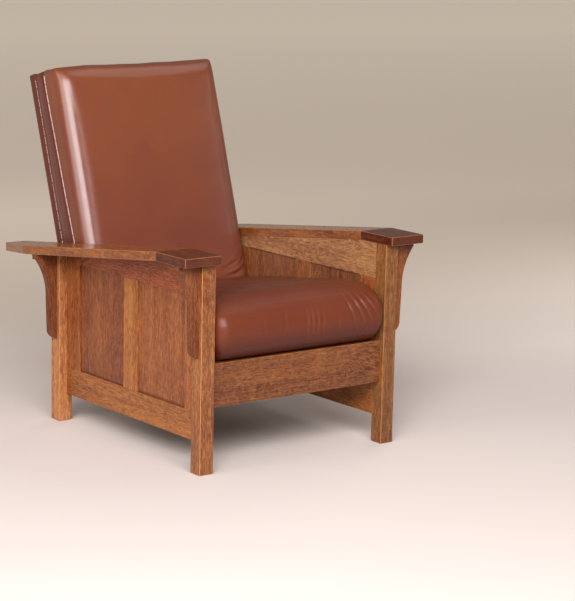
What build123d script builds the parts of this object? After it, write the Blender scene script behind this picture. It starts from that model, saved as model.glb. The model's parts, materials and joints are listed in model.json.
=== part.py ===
# Mission reclining armchair: oak frame, bent bow arms, leather seat and adjustable back.
# Frame: x = 0 on the chair's middle, -y towards the sitter's feet, z = 0 on the floor.
# Distances called "depth" run rearwards from the front face of the front posts.
import os
from math import atan, cos, degrees, radians, sin, tan

from build123d import *

os.makedirs("parts", exist_ok=True)

# Posts and overall frame
FRAME_WIDTH = 706.0
FRAME_DEPTH = 794.0
POST = 46.0
POST_FOOT_CHAMFER = 3.0
EASED_EDGE = 1.2

# Arms
ARM_UNDERSIDE = 602.0
ARM_THICKNESS = 26.0
ARM_REAR_OVERHANG = 239.0
ARM_FRONT_OVERHANG = 25.0
ARM_SIDE_OVERHANG = 75.0
ARM_BEND_DEPTH = 118.0
ARM_FALL = 6.9
ARM_TAPER_BEHIND_POST = 42.0
ARM_REAR_WIDTH = 67.0
ARM_EDGE = 1.5

# Side frames
SIDE_THICKNESS = 19.0
SIDE_BOTTOM_HEIGHT = 85.0
SIDE_BOTTOM_RAIL = 83.5
SIDE_TOP_RAIL_HEIGHT = 104.0
SIDE_STILE = 72.0
PANEL_THICKNESS = 8.0
GROOVE_DEPTH = 9.0
PANEL_PLAY = 0.15

# Corbels under the arms
CORBEL_LENGTH = 266.0
CORBEL_THICKNESS = 20.0
CORBEL_TOP_REACH = 70.0
CORBEL_LIP = 14.0
CORBEL_FOOT_WIDTH = 25.0
CORBEL_FOOT_ROUND = 31.0
CORBEL_SWEEP_WIDTH = 29.0
CORBEL_SWEEP_DROP = 138.0
CORBEL_SWEEP_SAG = 12.0

# Front and rear rails
RAIL_BELOW_ARM = 288.0
RAIL_HEIGHT = 126.0
RAIL_THICKNESS = 22.0
FRONT_RAIL_SETBACK = 15.0
REAR_RAIL_SETBACK = 15.0
TENON_LENGTH = 20.0
TENON_SHOULDER = 5.0

# Seat deck
DECK_FALL = 5.5
SEAT_FRAME_THICKNESS = 22.0
SEAT_FRAME_WIDTH = 60.0
SEAT_FRAME_PLAY = 0.5
STRAP_THICKNESS = 3.0
STRAP_WIDTH = 50.0
STRAP_COUNT = 9
STRAP_END_MARGIN = 8.0
CLEAT_WIDTH = 19.0
CLEAT_HEIGHT = 25.0

# Seat cushion
SEAT_SIDE_GAP = 3.0
SEAT_REST_GAP = 0.3
SEAT_FRONT_HEIGHT = 182.0
SEAT_CROWN = 13.0
SEAT_FRONT_BULGE = 22.0
SEAT_FRONT_FOOT = 12.0
SEAT_BACK_CLEARANCE = 7.85
SEAT_TOP_EXTRA_FALL = 1.9
SEAT_SIDE_DRAW = 5.0
SEAT_CORNER = 26.0

# Reclining back
BACK_LEAN = 18.4
BACK_TRAVEL = 18.0
PIVOT_ABOVE_RAIL = 31.0
BACK_SIDE_GAP = 10.0
BACK_ABOVE_PIVOT = 732.0
BACK_BELOW_PIVOT = 22.0
BACK_FRAME_THICKNESS = 21.0
PIVOT_BEHIND_FRAME_FACE = 8.5
BACK_STILE_WIDTH = 60.0
BACK_RAIL_WIDTH = 70.0
OUTSIDE_BACK_THICKNESS = 5.5
LEATHER = 1.5
BACK_STRAP_THICKNESS = 1.5
BACK_STRAP_WIDTH = 50.0
BACK_STRAP_COUNT = 8
BACK_CUSHION_BOTTOM_FACE = 130.0
BACK_CUSHION_TOP_FACE = 142.0
BACK_CUSHION_CROWN = 16.0
BACK_SIDE_DRAW = 4.0
BACK_CORNER = 18.0
SOFT_GAP = 0.3

# Pivot pins
PIVOT_PIN_DIAMETER = 8.0
PIVOT_PIN_IN_POST = 22.0
PIVOT_PIN_IN_STILE = 26.0
PIN_CLEARANCE = 0.08
SPACER_DIAMETER = 24.0

# Support rod with its racks and pegs, under the arms behind the rear posts
ROD_DIAMETER = 19.0
ROD_END_PLAY = 0.5
ROD_SLOT = 20.2
ROD_REST_GAP = 0.3
SHELF_THICKNESS = 8.0
SHELF_TO_BACK = 2.0
RACK_INSET = 24.0
RACK_THICKNESS = 10.0
RACK_END_MARGIN = 16.0
PEG_DIAMETER = 10.0
PEG_CLEARANCE = 0.1
PEG_HOLES = 4
PEG_REACH = 14.0
PEG_HEAD_DIAMETER = 16.0
PEG_HEAD_LENGTH = 9.0
PEG_HEAD_CHAMFER = 2.5
PEG_SEAT_GAP = 0.3

CUT_OVERRUN = 60.0

# Worked-out places
ARM_LENGTH = ARM_FRONT_OVERHANG + FRAME_DEPTH + ARM_REAR_OVERHANG
MIDDLE_DEPTH = ARM_LENGTH / 2 - ARM_FRONT_OVERHANG
POST_OUTER = FRAME_WIDTH / 2
POST_INNER = POST_OUTER - POST
REAR_POST_FRONT = FRAME_DEPTH - POST
SIDE_INNER = POST_INNER
SIDE_OUTER = SIDE_INNER + SIDE_THICKNESS
ARM_OUTER = POST_OUTER + ARM_SIDE_OVERHANG
ARM_REAR_END = ARM_LENGTH - ARM_FRONT_OVERHANG
ARM_TAPER_START = FRAME_DEPTH + ARM_TAPER_BEHIND_POST
PIVOT_DEPTH = FRAME_DEPTH - POST / 2
SIDE_RAIL_TOP = SIDE_BOTTOM_HEIGHT + SIDE_BOTTOM_RAIL
SIDE_TOP_RAIL_EDGE = ARM_UNDERSIDE - SIDE_TOP_RAIL_HEIGHT
RAIL_TOP = ARM_UNDERSIDE - RAIL_BELOW_ARM
RAIL_BOTTOM = RAIL_TOP - RAIL_HEIGHT
PIVOT_HEIGHT = RAIL_TOP + PIVOT_ABOVE_RAIL
DECK_START = FRONT_RAIL_SETBACK + RAIL_THICKNESS
DECK_END = FRAME_DEPTH - REAR_RAIL_SETBACK - RAIL_THICKNESS
BACK_REAR = BACK_FRAME_THICKNESS - PIVOT_BEHIND_FRAME_FACE + OUTSIDE_BACK_THICKNESS
BACK_HALF = POST_INNER - BACK_SIDE_GAP
SEAT_HALF = POST_INNER - SEAT_SIDE_GAP


def place_y(depth):
    """Turn a depth behind the front posts' front face into the y coordinate."""
    return depth - MIDDLE_DEPTH


def block(x_low, x_high, depth_low, depth_high, z_low, z_high):
    """Square-cornered piece between the given faces."""
    centre = ((x_low + x_high) / 2, place_y((depth_low + depth_high) / 2), (z_low + z_high) / 2)
    return Pos(*centre) * Box(x_high - x_low, depth_high - depth_low, z_high - z_low)


def side_profile(points, x_low, x_high):
    """Piece with a side outline of (depth, z) points, as thick as x_low to x_high."""
    outline = Polygon(*[(place_y(depth), z) for depth, z in points], align=None)
    return extrude(Plane.YZ.offset(x_low) * outline, amount=x_high - x_low, dir=(1, 0, 0))


def mirrored(piece):
    """The same piece for the other side of the chair."""
    return mirror(piece, about=Plane.YZ)


def eased(piece, size, axis):
    """Take the sharpness off the edges that run along one axis."""
    return chamfer(piece.edges().filter_by(axis), size)


def save(name, piece):
    """Write one sub-part."""
    if isinstance(piece, (list, tuple)):
        piece = Compound(children=list(piece))
    export_step(piece, f"parts/{name}.step")


def save_pair(name, left_piece):
    """Write a sub-part of the left side (negative x) and its mirror image."""
    save(f"{name}_left", left_piece)
    save(f"{name}_right", mirrored(left_piece))


def arm_underside(depth):
    """Height of the arm's underside: level to the bend, then falling to the rear."""
    beyond_bend = max(depth - ARM_BEND_DEPTH, 0)
    return ARM_UNDERSIDE - beyond_bend * tan(radians(ARM_FALL))


def deck_height(depth):
    """Height of the sloping seat deck, level with the front rail at its rear face."""
    return RAIL_TOP - (depth - DECK_START) * tan(radians(DECK_FALL))


def above_arms():
    """Everything over the arms' undersides."""
    lift = 2 * CUT_OVERRUN
    points = [
        (-lift, ARM_UNDERSIDE),
        (ARM_BEND_DEPTH, ARM_UNDERSIDE),
        (ARM_REAR_END + lift, arm_underside(ARM_REAR_END + lift)),
        (ARM_REAR_END + lift, ARM_UNDERSIDE + lift),
        (-lift, ARM_UNDERSIDE + lift),
    ]
    return side_profile(points, -ARM_OUTER - lift, ARM_OUTER + lift)


# Posts: square legs that run from the floor to the arms
def post(depth_front, tenon_rail_front):
    blank = block(-POST_OUTER, -POST_INNER, depth_front, depth_front + POST, 0, ARM_UNDERSIDE)
    foot = blank.faces().sort_by(Axis.Z)[0]
    blank = chamfer(foot.edges(), POST_FOOT_CHAMFER)
    blank = eased(blank, EASED_EDGE, Axis.Z)
    mortise = block(
        -POST_INNER - TENON_LENGTH, -POST_INNER,
        tenon_rail_front + TENON_SHOULDER, tenon_rail_front + RAIL_THICKNESS - TENON_SHOULDER,
        RAIL_BOTTOM + TENON_SHOULDER, RAIL_TOP - TENON_SHOULDER,
    )
    return blank - mortise


def front_post():
    return post(0, FRONT_RAIL_SETBACK)


def rear_post():
    blank = post(REAR_POST_FRONT, DECK_END) - above_arms()
    socket_x = -POST_INNER - PIVOT_PIN_IN_POST / 2
    socket = cylinder_across(socket_x, PIVOT_PIN_DIAMETER / 2 + PIN_CLEARANCE, PIVOT_PIN_IN_POST)
    return blank - socket


def cylinder_across(x_middle, radius, length):
    """Round bar or hole along x, on the back's pivot line."""
    pose = Pos(x_middle, place_y(PIVOT_DEPTH), PIVOT_HEIGHT) * Rot(0, 90, 0)
    return pose * Cylinder(radius, length)


# Arms: one bent board on each side, mitred at the bend
def bent_board():
    """The left arm before its mitre is cut, with eased edges."""
    half_turn = radians(ARM_FALL) / 2
    bend_top = (ARM_BEND_DEPTH + ARM_THICKNESS * tan(half_turn), ARM_UNDERSIDE + ARM_THICKNESS)
    rear_bottom_depth = ARM_REAR_END - ARM_THICKNESS * sin(radians(ARM_FALL))
    rear_bottom = (rear_bottom_depth, arm_underside(rear_bottom_depth))
    points = [
        (-ARM_FRONT_OVERHANG, ARM_UNDERSIDE),
        (ARM_BEND_DEPTH, ARM_UNDERSIDE),
        rear_bottom,
        (ARM_REAR_END, rear_bottom[1] + ARM_THICKNESS * cos(radians(ARM_FALL))),
        bend_top,
        (-ARM_FRONT_OVERHANG, ARM_UNDERSIDE + ARM_THICKNESS),
    ]
    board = side_profile(points, -ARM_OUTER, -POST_INNER)
    outer_corner = [
        (-ARM_OUTER, place_y(ARM_TAPER_START)),
        (-POST_INNER - ARM_REAR_WIDTH, place_y(ARM_REAR_END)),
        (-ARM_OUTER, place_y(ARM_REAR_END)),
    ]
    corner_cut = extrude(
        Polygon(*outer_corner, align=None), amount=ARM_UNDERSIDE + CUT_OVERRUN, dir=(0, 0, 1))
    board -= corner_cut
    bend_lines = [place_y(ARM_BEND_DEPTH), place_y(bend_top[0])]
    eased_edges = [
        edge for edge in board.edges()
        if min(abs(edge.center().Y - line) for line in bend_lines) > ARM_THICKNESS
    ]
    return chamfer(eased_edges, ARM_EDGE)


def arm_sections():
    """Front and rear sections of the left arm, which meet on the mitre."""
    board = bent_board()
    tilt = ARM_FALL / 2
    pose = Pos(0, place_y(ARM_BEND_DEPTH), ARM_UNDERSIDE) * Rot(-tilt, 0, 0)
    reach = ARM_LENGTH + CUT_OVERRUN
    behind_mitre = pose * Pos(0, reach / 2, 0) * Box(2 * reach, reach, 2 * reach)
    return board - behind_mitre, board & behind_mitre


# Side frames: rails from post to post, with stiles, a mullion and two flat panels between them
def groove(x_middle, depth_low, depth_high, z_low, z_high):
    half = PANEL_THICKNESS / 2 + PANEL_PLAY
    return block(x_middle - half, x_middle + half, depth_low, depth_high, z_low, z_high)


SIDE_MIDDLE = (SIDE_INNER + SIDE_OUTER) / 2
OPENING_WIDTH = (REAR_POST_FRONT - POST - 3 * SIDE_STILE) / 2


def side_bottom_rail():
    rail = block(-SIDE_OUTER, -SIDE_INNER, POST, REAR_POST_FRONT, SIDE_BOTTOM_HEIGHT, SIDE_RAIL_TOP)
    return rail - groove(-SIDE_MIDDLE, POST, REAR_POST_FRONT, SIDE_RAIL_TOP - GROOVE_DEPTH, SIDE_RAIL_TOP)


def side_top_rail():
    points = [
        (POST, SIDE_TOP_RAIL_EDGE),
        (REAR_POST_FRONT, SIDE_TOP_RAIL_EDGE),
        (REAR_POST_FRONT, arm_underside(REAR_POST_FRONT)),
        (ARM_BEND_DEPTH, ARM_UNDERSIDE),
        (POST, ARM_UNDERSIDE),
    ]
    rail = side_profile(points, -SIDE_OUTER, -SIDE_INNER)
    top = SIDE_TOP_RAIL_EDGE + GROOVE_DEPTH
    return rail - groove(-SIDE_MIDDLE, POST, REAR_POST_FRONT, SIDE_TOP_RAIL_EDGE, top)


def side_upright(depth_low, grooved_front, grooved_rear):
    """Stile or mullion with a stub tenon at each end that fills the rails' grooves."""
    depth_high = depth_low + SIDE_STILE
    upright = block(-SIDE_OUTER, -SIDE_INNER, depth_low, depth_high, SIDE_RAIL_TOP, SIDE_TOP_RAIL_EDGE)
    if grooved_front:
        upright -= groove(
            -SIDE_MIDDLE, depth_low, depth_low + GROOVE_DEPTH, SIDE_RAIL_TOP, SIDE_TOP_RAIL_EDGE)
        depth_low += GROOVE_DEPTH
    if grooved_rear:
        upright -= groove(
            -SIDE_MIDDLE, depth_high - GROOVE_DEPTH, depth_high, SIDE_RAIL_TOP, SIDE_TOP_RAIL_EDGE)
        depth_high -= GROOVE_DEPTH
    half = PANEL_THICKNESS / 2
    for z_low, z_high in [
        (SIDE_RAIL_TOP - GROOVE_DEPTH, SIDE_RAIL_TOP),
        (SIDE_TOP_RAIL_EDGE, SIDE_TOP_RAIL_EDGE + GROOVE_DEPTH),
    ]:
        upright += block(-SIDE_MIDDLE - half, -SIDE_MIDDLE + half, depth_low, depth_high, z_low, z_high)
    return upright


def side_panel(opening_start):
    """Flat panel that floats in the grooves around one opening."""
    half = PANEL_THICKNESS / 2
    bite = GROOVE_DEPTH - PANEL_PLAY
    return block(
        -SIDE_MIDDLE - half, -SIDE_MIDDLE + half,
        opening_start - bite, opening_start + OPENING_WIDTH + bite,
        SIDE_RAIL_TOP - bite, SIDE_TOP_RAIL_EDGE + bite,
    )


# Corbels: curved brackets on the posts' outer faces that carry the arms' overhang
def corbel(middle_depth):
    top = arm_underside(middle_depth - CORBEL_THICKNESS / 2)
    reach_x = -POST_OUTER - CORBEL_TOP_REACH
    sweep_x = -POST_OUTER - CORBEL_SWEEP_WIDTH
    foot_x = -POST_OUTER - CORBEL_FOOT_WIDTH
    lip_z = top - CORBEL_LIP
    sweep_z = top - CORBEL_SWEEP_DROP
    foot_z = top - CORBEL_LENGTH + CORBEL_FOOT_ROUND
    chord = Vector(sweep_x - reach_x, sweep_z - lip_z)
    inward = Vector(-chord.Y, chord.X).normalized()
    if inward.X < 0:
        inward = -inward
    sweep_middle = Vector((reach_x + sweep_x) / 2, (lip_z + sweep_z) / 2) + inward * CORBEL_SWEEP_SAG
    foot_bulge = cos(radians(45))
    foot_middle = (
        -POST_OUTER - CORBEL_FOOT_WIDTH * foot_bulge,
        foot_z - CORBEL_FOOT_ROUND * foot_bulge,
    )
    outline = [
        Line((-POST_OUTER, top), (reach_x, top)),
        Line((reach_x, top), (reach_x, lip_z)),
        ThreePointArc((reach_x, lip_z), (sweep_middle.X, sweep_middle.Y), (sweep_x, sweep_z)),
        Line((sweep_x, sweep_z), (foot_x, foot_z)),
        ThreePointArc((foot_x, foot_z), foot_middle, (-POST_OUTER, top - CORBEL_LENGTH)),
        Line((-POST_OUTER, top - CORBEL_LENGTH), (-POST_OUTER, top)),
    ]
    rear_y = place_y(middle_depth + CORBEL_THICKNESS / 2)
    front_face = Plane((0, rear_y, 0), x_dir=(1, 0, 0), z_dir=(0, -1, 0))
    bracket = extrude(front_face * make_face(outline), amount=CORBEL_THICKNESS, dir=(0, -1, 0))
    return bracket - above_arms()


# Front and rear rails, tenoned into the posts
def cross_rail(depth_low):
    rail = block(
        -POST_INNER, POST_INNER, depth_low, depth_low + RAIL_THICKNESS, RAIL_BOTTOM, RAIL_TOP)
    rail = eased(rail, EASED_EDGE, Axis.X)
    tongue = block(
        -POST_INNER - TENON_LENGTH, POST_INNER + TENON_LENGTH,
        depth_low + TENON_SHOULDER, depth_low + RAIL_THICKNESS - TENON_SHOULDER,
        RAIL_BOTTOM + TENON_SHOULDER, RAIL_TOP - TENON_SHOULDER,
    )
    return rail + tongue


# Seat deck: a loose frame with straps, on cleats screwed to the side frames
def deck_layer(x_low, x_high, depth_low, depth_high, below, thickness):
    """Board that lies along the sloping deck, its top below the deck by a distance."""
    slope = 1 / cos(radians(DECK_FALL))
    top_drop = below * slope
    bottom_drop = (below + thickness) * slope
    points = [
        (depth_low, deck_height(depth_low) - top_drop),
        (depth_high, deck_height(depth_high) - top_drop),
        (depth_high, deck_height(depth_high) - bottom_drop),
        (depth_low, deck_height(depth_low) - bottom_drop),
    ]
    return side_profile(points, x_low, x_high)


FRAME_START = DECK_START + SEAT_FRAME_PLAY
FRAME_END = DECK_END - SEAT_FRAME_PLAY
FRAME_HALF = SIDE_INNER - SEAT_FRAME_PLAY


def seat_frame_side():
    inner = -FRAME_HALF + SEAT_FRAME_WIDTH
    return deck_layer(-FRAME_HALF, inner, FRAME_START, FRAME_END, STRAP_THICKNESS, SEAT_FRAME_THICKNESS)


def seat_frame_end(depth_low, depth_high):
    half = FRAME_HALF - SEAT_FRAME_WIDTH
    return deck_layer(-half, half, depth_low, depth_high, STRAP_THICKNESS, SEAT_FRAME_THICKNESS)


def seat_cleat():
    below = STRAP_THICKNESS + SEAT_FRAME_THICKNESS
    return deck_layer(-SIDE_INNER, -SIDE_INNER + CLEAT_WIDTH, DECK_START, DECK_END, below, CLEAT_HEIGHT)


def seat_straps():
    """Webbing straps across the seat frame, evenly spaced from front to rear."""
    half = FRAME_HALF - STRAP_END_MARGIN
    first = FRAME_START + STRAP_END_MARGIN
    last = FRAME_END - STRAP_END_MARGIN - STRAP_WIDTH
    straps = []
    for index in range(STRAP_COUNT):
        start = first + (last - first) * index / (STRAP_COUNT - 1)
        straps.append(deck_layer(-half, half, start, start + STRAP_WIDTH, 0, STRAP_THICKNESS))
    return straps


# Soft forms: closed lofts through rounded outlines whose sides are drawn in between the corners
def pillow_section(plane, x_half, v_low, v_high, draw_in, corner):
    """Rounded outline on a plane, its four sides bowed inwards by draw_in at their middles."""
    v_middle = (v_low + v_high) / 2
    inset = corner * (1 - cos(radians(45)))
    corners = [
        ((x_half, v_high - corner), (x_half - inset, v_high - inset), (x_half - corner, v_high)),
        ((-x_half + corner, v_high), (-x_half + inset, v_high - inset), (-x_half, v_high - corner)),
        ((-x_half, v_low + corner), (-x_half + inset, v_low + inset), (-x_half + corner, v_low)),
        ((x_half - corner, v_low), (x_half - inset, v_low + inset), (x_half, v_low + corner)),
    ]
    side_middles = [
        (0, v_high - draw_in),
        (-x_half + draw_in, v_middle),
        (0, v_low + draw_in),
        (x_half - draw_in, v_middle),
    ]
    edges = []
    for index, (start, middle, end) in enumerate(corners):
        edges.append(ThreePointArc(start, middle, end))
        next_start = corners[(index + 1) % 4][0]
        edges.append(ThreePointArc(end, side_middles[index], next_start))
    return plane * make_face(edges)


# Rows of the seat cushion from bottom to top. Each gives its height as a share of the front
# height, how far its front stands out as a share of the whole bulge, how far its sides and
# rear come in as a share of the corner, and how much of the crown it has gained.
SEAT_ROW_SHARES = [
    (0.0, -0.35, 0.45, 0.0),
    (0.1, 0.25, 0.12, 0.0),
    (0.3, 0.85, 0.0, 0.0),
    (0.55, 1.0, 0.0, 0.0),
    (0.75, 0.75, 0.06, 0.0),
    (0.88, 0.1, 0.3, 0.05),
    (0.955, -1.1, 0.9, 0.2),
    (0.985, -2.6, 1.9, 0.45),
    (1.0, -5.0, 3.6, 0.75),
    (1.0, -8.5, 6.4, 1.0),
]


def seat_rear_depth(height):
    """Depth of the cushion's rear face, which lies parallel to the back's front."""
    lean = radians(BACK_LEAN)
    behind_face = (BACK_CUSHION_BOTTOM_FACE + SEAT_BACK_CLEARANCE) / cos(lean)
    return PIVOT_DEPTH + (height - PIVOT_HEIGHT) * tan(lean) - behind_face


def seat_cushion():
    sections = []
    fall = radians(DECK_FALL)
    for height_share, bulge_share, inset_share, crown_share in SEAT_ROW_SHARES:
        rise = SEAT_REST_GAP + height_share * SEAT_FRONT_HEIGHT + crown_share * SEAT_CROWN
        tilt = DECK_FALL + height_share * SEAT_TOP_EXTRA_FALL
        inset = inset_share * SEAT_CORNER
        front = -bulge_share * SEAT_FRONT_BULGE if bulge_share > 0 else SEAT_FRONT_FOOT * -bulge_share
        origin_z = deck_height(0) + rise / cos(fall)
        meeting = 1 + tan(radians(tilt)) * tan(radians(BACK_LEAN))
        rear = seat_rear_depth(origin_z) / meeting - inset
        along = 1 / cos(radians(tilt))
        plane = Plane(
            (0, place_y(0), origin_z), x_dir=(1, 0, 0),
            z_dir=(0, sin(radians(tilt)), cos(radians(tilt))))
        draw_in = SEAT_SIDE_DRAW * (1 - height_share) + SEAT_SIDE_DRAW / 2
        sections.append(pillow_section(
            plane, SEAT_HALF - inset, front * along, rear * along, draw_in, SEAT_CORNER))
    return loft(sections, ruled=True)


# Reclining back, drawn upright about its pivot and then leaned
BACK_PLACE = Pos(0, place_y(PIVOT_DEPTH), PIVOT_HEIGHT) * Rot(-BACK_LEAN, 0, 0)
BACK_FACE = -PIVOT_BEHIND_FRAME_FACE
BACK_FRAME_REAR = BACK_FACE + BACK_FRAME_THICKNESS
BACK_STRAP_FACE = BACK_FACE - BACK_STRAP_THICKNESS
BACK_STILE_OUTER = BACK_HALF - LEATHER


def back_block(x_low, x_high, n_low, n_high, up_low, up_high):
    """Piece of the back: n runs rearwards through its thickness, up along its height."""
    centre = ((x_low + x_high) / 2, (n_low + n_high) / 2, (up_low + up_high) / 2)
    return Pos(*centre) * Box(x_high - x_low, n_high - n_low, up_high - up_low)


def back_stile():
    stile = back_block(
        -BACK_STILE_OUTER, -BACK_STILE_OUTER + BACK_STILE_WIDTH,
        BACK_FACE, BACK_FRAME_REAR, -BACK_BELOW_PIVOT, BACK_ABOVE_PIVOT - LEATHER)
    bore_middle = -BACK_STILE_OUTER + PIVOT_PIN_IN_STILE / 2
    bore = Pos(bore_middle, 0, 0) * Rot(0, 90, 0) * Cylinder(
        PIVOT_PIN_DIAMETER / 2 + PIN_CLEARANCE, PIVOT_PIN_IN_STILE)
    return BACK_PLACE * (stile - bore)


def back_rail(up_low):
    half = BACK_STILE_OUTER - BACK_STILE_WIDTH
    return BACK_PLACE * back_block(
        -half, half, BACK_FACE, BACK_FRAME_REAR, up_low, up_low + BACK_RAIL_WIDTH)


def back_straps():
    """Elastic straps across the front of the back frame."""
    half = BACK_STILE_OUTER - STRAP_END_MARGIN
    first = -BACK_BELOW_PIVOT + STRAP_END_MARGIN
    last = BACK_ABOVE_PIVOT - LEATHER - STRAP_END_MARGIN - BACK_STRAP_WIDTH
    straps = []
    for index in range(BACK_STRAP_COUNT):
        start = first + (last - first) * index / (BACK_STRAP_COUNT - 1)
        straps.append(BACK_PLACE * back_block(
            -half, half, BACK_STRAP_FACE, BACK_FACE, start, start + BACK_STRAP_WIDTH))
    return straps


def back_band_side():
    """Leather strip that covers the edge of one stile, with a hole for the pivot pin."""
    band = back_block(
        -BACK_HALF, -BACK_STILE_OUTER, BACK_STRAP_FACE, BACK_FRAME_REAR,
        -BACK_BELOW_PIVOT, BACK_ABOVE_PIVOT)
    hole = Pos(-BACK_HALF, 0, 0) * Rot(0, 90, 0) * Cylinder(
        PIVOT_PIN_DIAMETER / 2 + PIN_CLEARANCE, 4 * LEATHER)
    return BACK_PLACE * (band - hole)


def back_band_top():
    return BACK_PLACE * back_block(
        -BACK_STILE_OUTER, BACK_STILE_OUTER, BACK_STRAP_FACE, BACK_FRAME_REAR,
        BACK_ABOVE_PIVOT - LEATHER, BACK_ABOVE_PIVOT)


def outside_back_panel():
    panel = back_block(
        -BACK_HALF, BACK_HALF, BACK_FRAME_REAR, BACK_REAR, -BACK_BELOW_PIVOT, BACK_ABOVE_PIVOT)
    return BACK_PLACE * panel


# Rows of the back cushion from the straps to its front: the share of its side thickness,
# the inset of its edges as a share of the corner, and the share of the crown it has gained.
BACK_ROW_SHARES = [
    (0.0, 0.0, 0.0),
    (0.3, 0.02, 0.0),
    (0.6, 0.0, 0.0),
    (0.85, 0.12, 0.0),
    (0.95, 0.45, 0.0),
    (1.0, 1.0, 0.08),
    (1.0, 2.2, 0.3),
    (1.0, 4.6, 0.62),
    (1.0, 8.5, 1.0),
]


def back_cushion():
    height = BACK_ABOVE_PIVOT + BACK_BELOW_PIVOT
    flare = degrees(atan((BACK_CUSHION_TOP_FACE - BACK_CUSHION_BOTTOM_FACE) / height))
    start = -BACK_STRAP_FACE + SOFT_GAP
    sections = []
    for thickness_share, inset_share, crown_share in BACK_ROW_SHARES:
        edge_face = start + thickness_share * (BACK_CUSHION_BOTTOM_FACE - start)
        forward = edge_face + crown_share * BACK_CUSHION_CROWN
        tilt = thickness_share * flare
        plane = Plane(
            (0, -forward, -BACK_BELOW_PIVOT), x_dir=(1, 0, 0),
            z_dir=(0, -cos(radians(tilt)), -sin(radians(tilt))))
        inset = inset_share * BACK_CORNER
        sections.append(pillow_section(
            plane, BACK_HALF - inset, inset, height - inset, BACK_SIDE_DRAW, BACK_CORNER))
    return BACK_PLACE * loft(sections, ruled=True)


# Pivot: a steel pin from each rear post into the stile, with a spacer ring between
def pivot_pin():
    outer = -POST_INNER - PIVOT_PIN_IN_POST
    inner = -BACK_STILE_OUTER + PIVOT_PIN_IN_STILE - SOFT_GAP
    return cylinder_across((outer + inner) / 2, PIVOT_PIN_DIAMETER / 2, inner - outer)


def pivot_spacer():
    outer = -POST_INNER
    inner = -BACK_HALF - SOFT_GAP
    ring = cylinder_across((outer + inner) / 2, SPACER_DIAMETER / 2, inner - outer)
    hole = cylinder_across((outer + inner) / 2, PIVOT_PIN_DIAMETER / 2 + PIN_CLEARANCE, inner - outer)
    return ring - hole


# Support gear: the rod lies on two shelves under the arms and the back leans on it
SLOPE_ALONG = Vector(0, cos(radians(ARM_FALL)), -sin(radians(ARM_FALL)))
SLOPE_DOWN = Vector(0, -sin(radians(ARM_FALL)), -cos(radians(ARM_FALL)))
ROD_DROP = ROD_SLOT - ROD_REST_GAP - ROD_DIAMETER / 2


def under_arm(depth, drop):
    """Point at a square distance below the arm's underside, from the line above a depth."""
    start = Vector(0, place_y(depth), arm_underside(depth))
    return start + SLOPE_DOWN * drop


def rod_start_depth():
    """Depth at which the rod, lying on its shelves, just clears the back at rest."""
    lean = radians(BACK_LEAN)
    fall = radians(ARM_FALL)
    wanted = BACK_REAR + ROD_DIAMETER / 2 + ROD_REST_GAP
    drop = under_arm(PIVOT_DEPTH, ROD_DROP)
    across = (drop.Y - place_y(PIVOT_DEPTH)) * cos(lean) - (drop.Z - PIVOT_HEIGHT) * sin(lean)
    return (wanted - across) / cos(lean - fall)


def rod_travel():
    """Distance that the rod slides back while the back goes from rest to its limit."""
    fall = radians(ARM_FALL)
    lean = radians(BACK_LEAN + BACK_TRAVEL)
    start = under_arm(PIVOT_DEPTH, ROD_DROP) + SLOPE_ALONG * rod_start_depth()
    wanted = BACK_REAR + ROD_DIAMETER / 2 + ROD_REST_GAP
    across = (start.Y - place_y(PIVOT_DEPTH)) * cos(lean) - (start.Z - PIVOT_HEIGHT) * sin(lean)
    return (wanted - across) / cos(lean - fall)


ROD_CENTRE = under_arm(PIVOT_DEPTH, ROD_DROP) + SLOPE_ALONG * rod_start_depth()
ROD_TRAVEL = rod_travel()
PEG_AHEAD = (ROD_DIAMETER + PEG_DIAMETER) / 2 + PEG_SEAT_GAP
PEG_CENTRE = ROD_CENTRE + SLOPE_ALONG * (ROD_TRAVEL + PEG_AHEAD)
HOLE_PITCH = ROD_TRAVEL / (PEG_HOLES - 1)
RACK_END = PEG_CENTRE.Y + MIDDLE_DEPTH + RACK_END_MARGIN
RACK_OUTER = POST_OUTER - RACK_INSET
RACK_INNER = RACK_OUTER - RACK_THICKNESS
RACK_HEIGHT = ROD_SLOT + SHELF_THICKNESS
SHELF_INNER = BACK_HALF + SHELF_TO_BACK


def across_bar(centre, x_low, x_high, diameter):
    pose = Pos((x_low + x_high) / 2, centre.Y, centre.Z) * Rot(0, 90, 0)
    return pose * Cylinder(diameter / 2, x_high - x_low)


def support_rod():
    half = RACK_INNER - ROD_END_PLAY
    rod = across_bar(ROD_CENTRE, -half, half, ROD_DIAMETER)
    return chamfer(rod.edges().filter_by(GeomType.CIRCLE), EASED_EDGE)


def sloped_board(x_low, x_high, drop_low, drop_high):
    """Board parallel to the arm's underside, from the rear post's back to the rack's end."""
    slope = 1 / cos(radians(ARM_FALL))
    points = [
        (FRAME_DEPTH, arm_underside(FRAME_DEPTH) - drop_low * slope),
        (RACK_END, arm_underside(RACK_END) - drop_low * slope),
        (RACK_END, arm_underside(RACK_END) - drop_high * slope),
        (FRAME_DEPTH, arm_underside(FRAME_DEPTH) - drop_high * slope),
    ]
    return side_profile(points, x_low, x_high)


def rack_plate():
    """Board screwed under the arm, with a hole for the peg at each setting."""
    plate = sloped_board(-RACK_OUTER, -RACK_INNER, 0, RACK_HEIGHT)
    for index in range(PEG_HOLES):
        centre = PEG_CENTRE - SLOPE_ALONG * (HOLE_PITCH * index)
        plate -= across_bar(
            centre, -RACK_OUTER - RACK_THICKNESS, -RACK_INNER + RACK_THICKNESS,
            PEG_DIAMETER + 2 * PEG_CLEARANCE)
    return plate


def rack_shelf():
    """Shelf that carries one end of the rod."""
    return sloped_board(-RACK_INNER, -SHELF_INNER, ROD_SLOT, RACK_HEIGHT)


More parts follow.
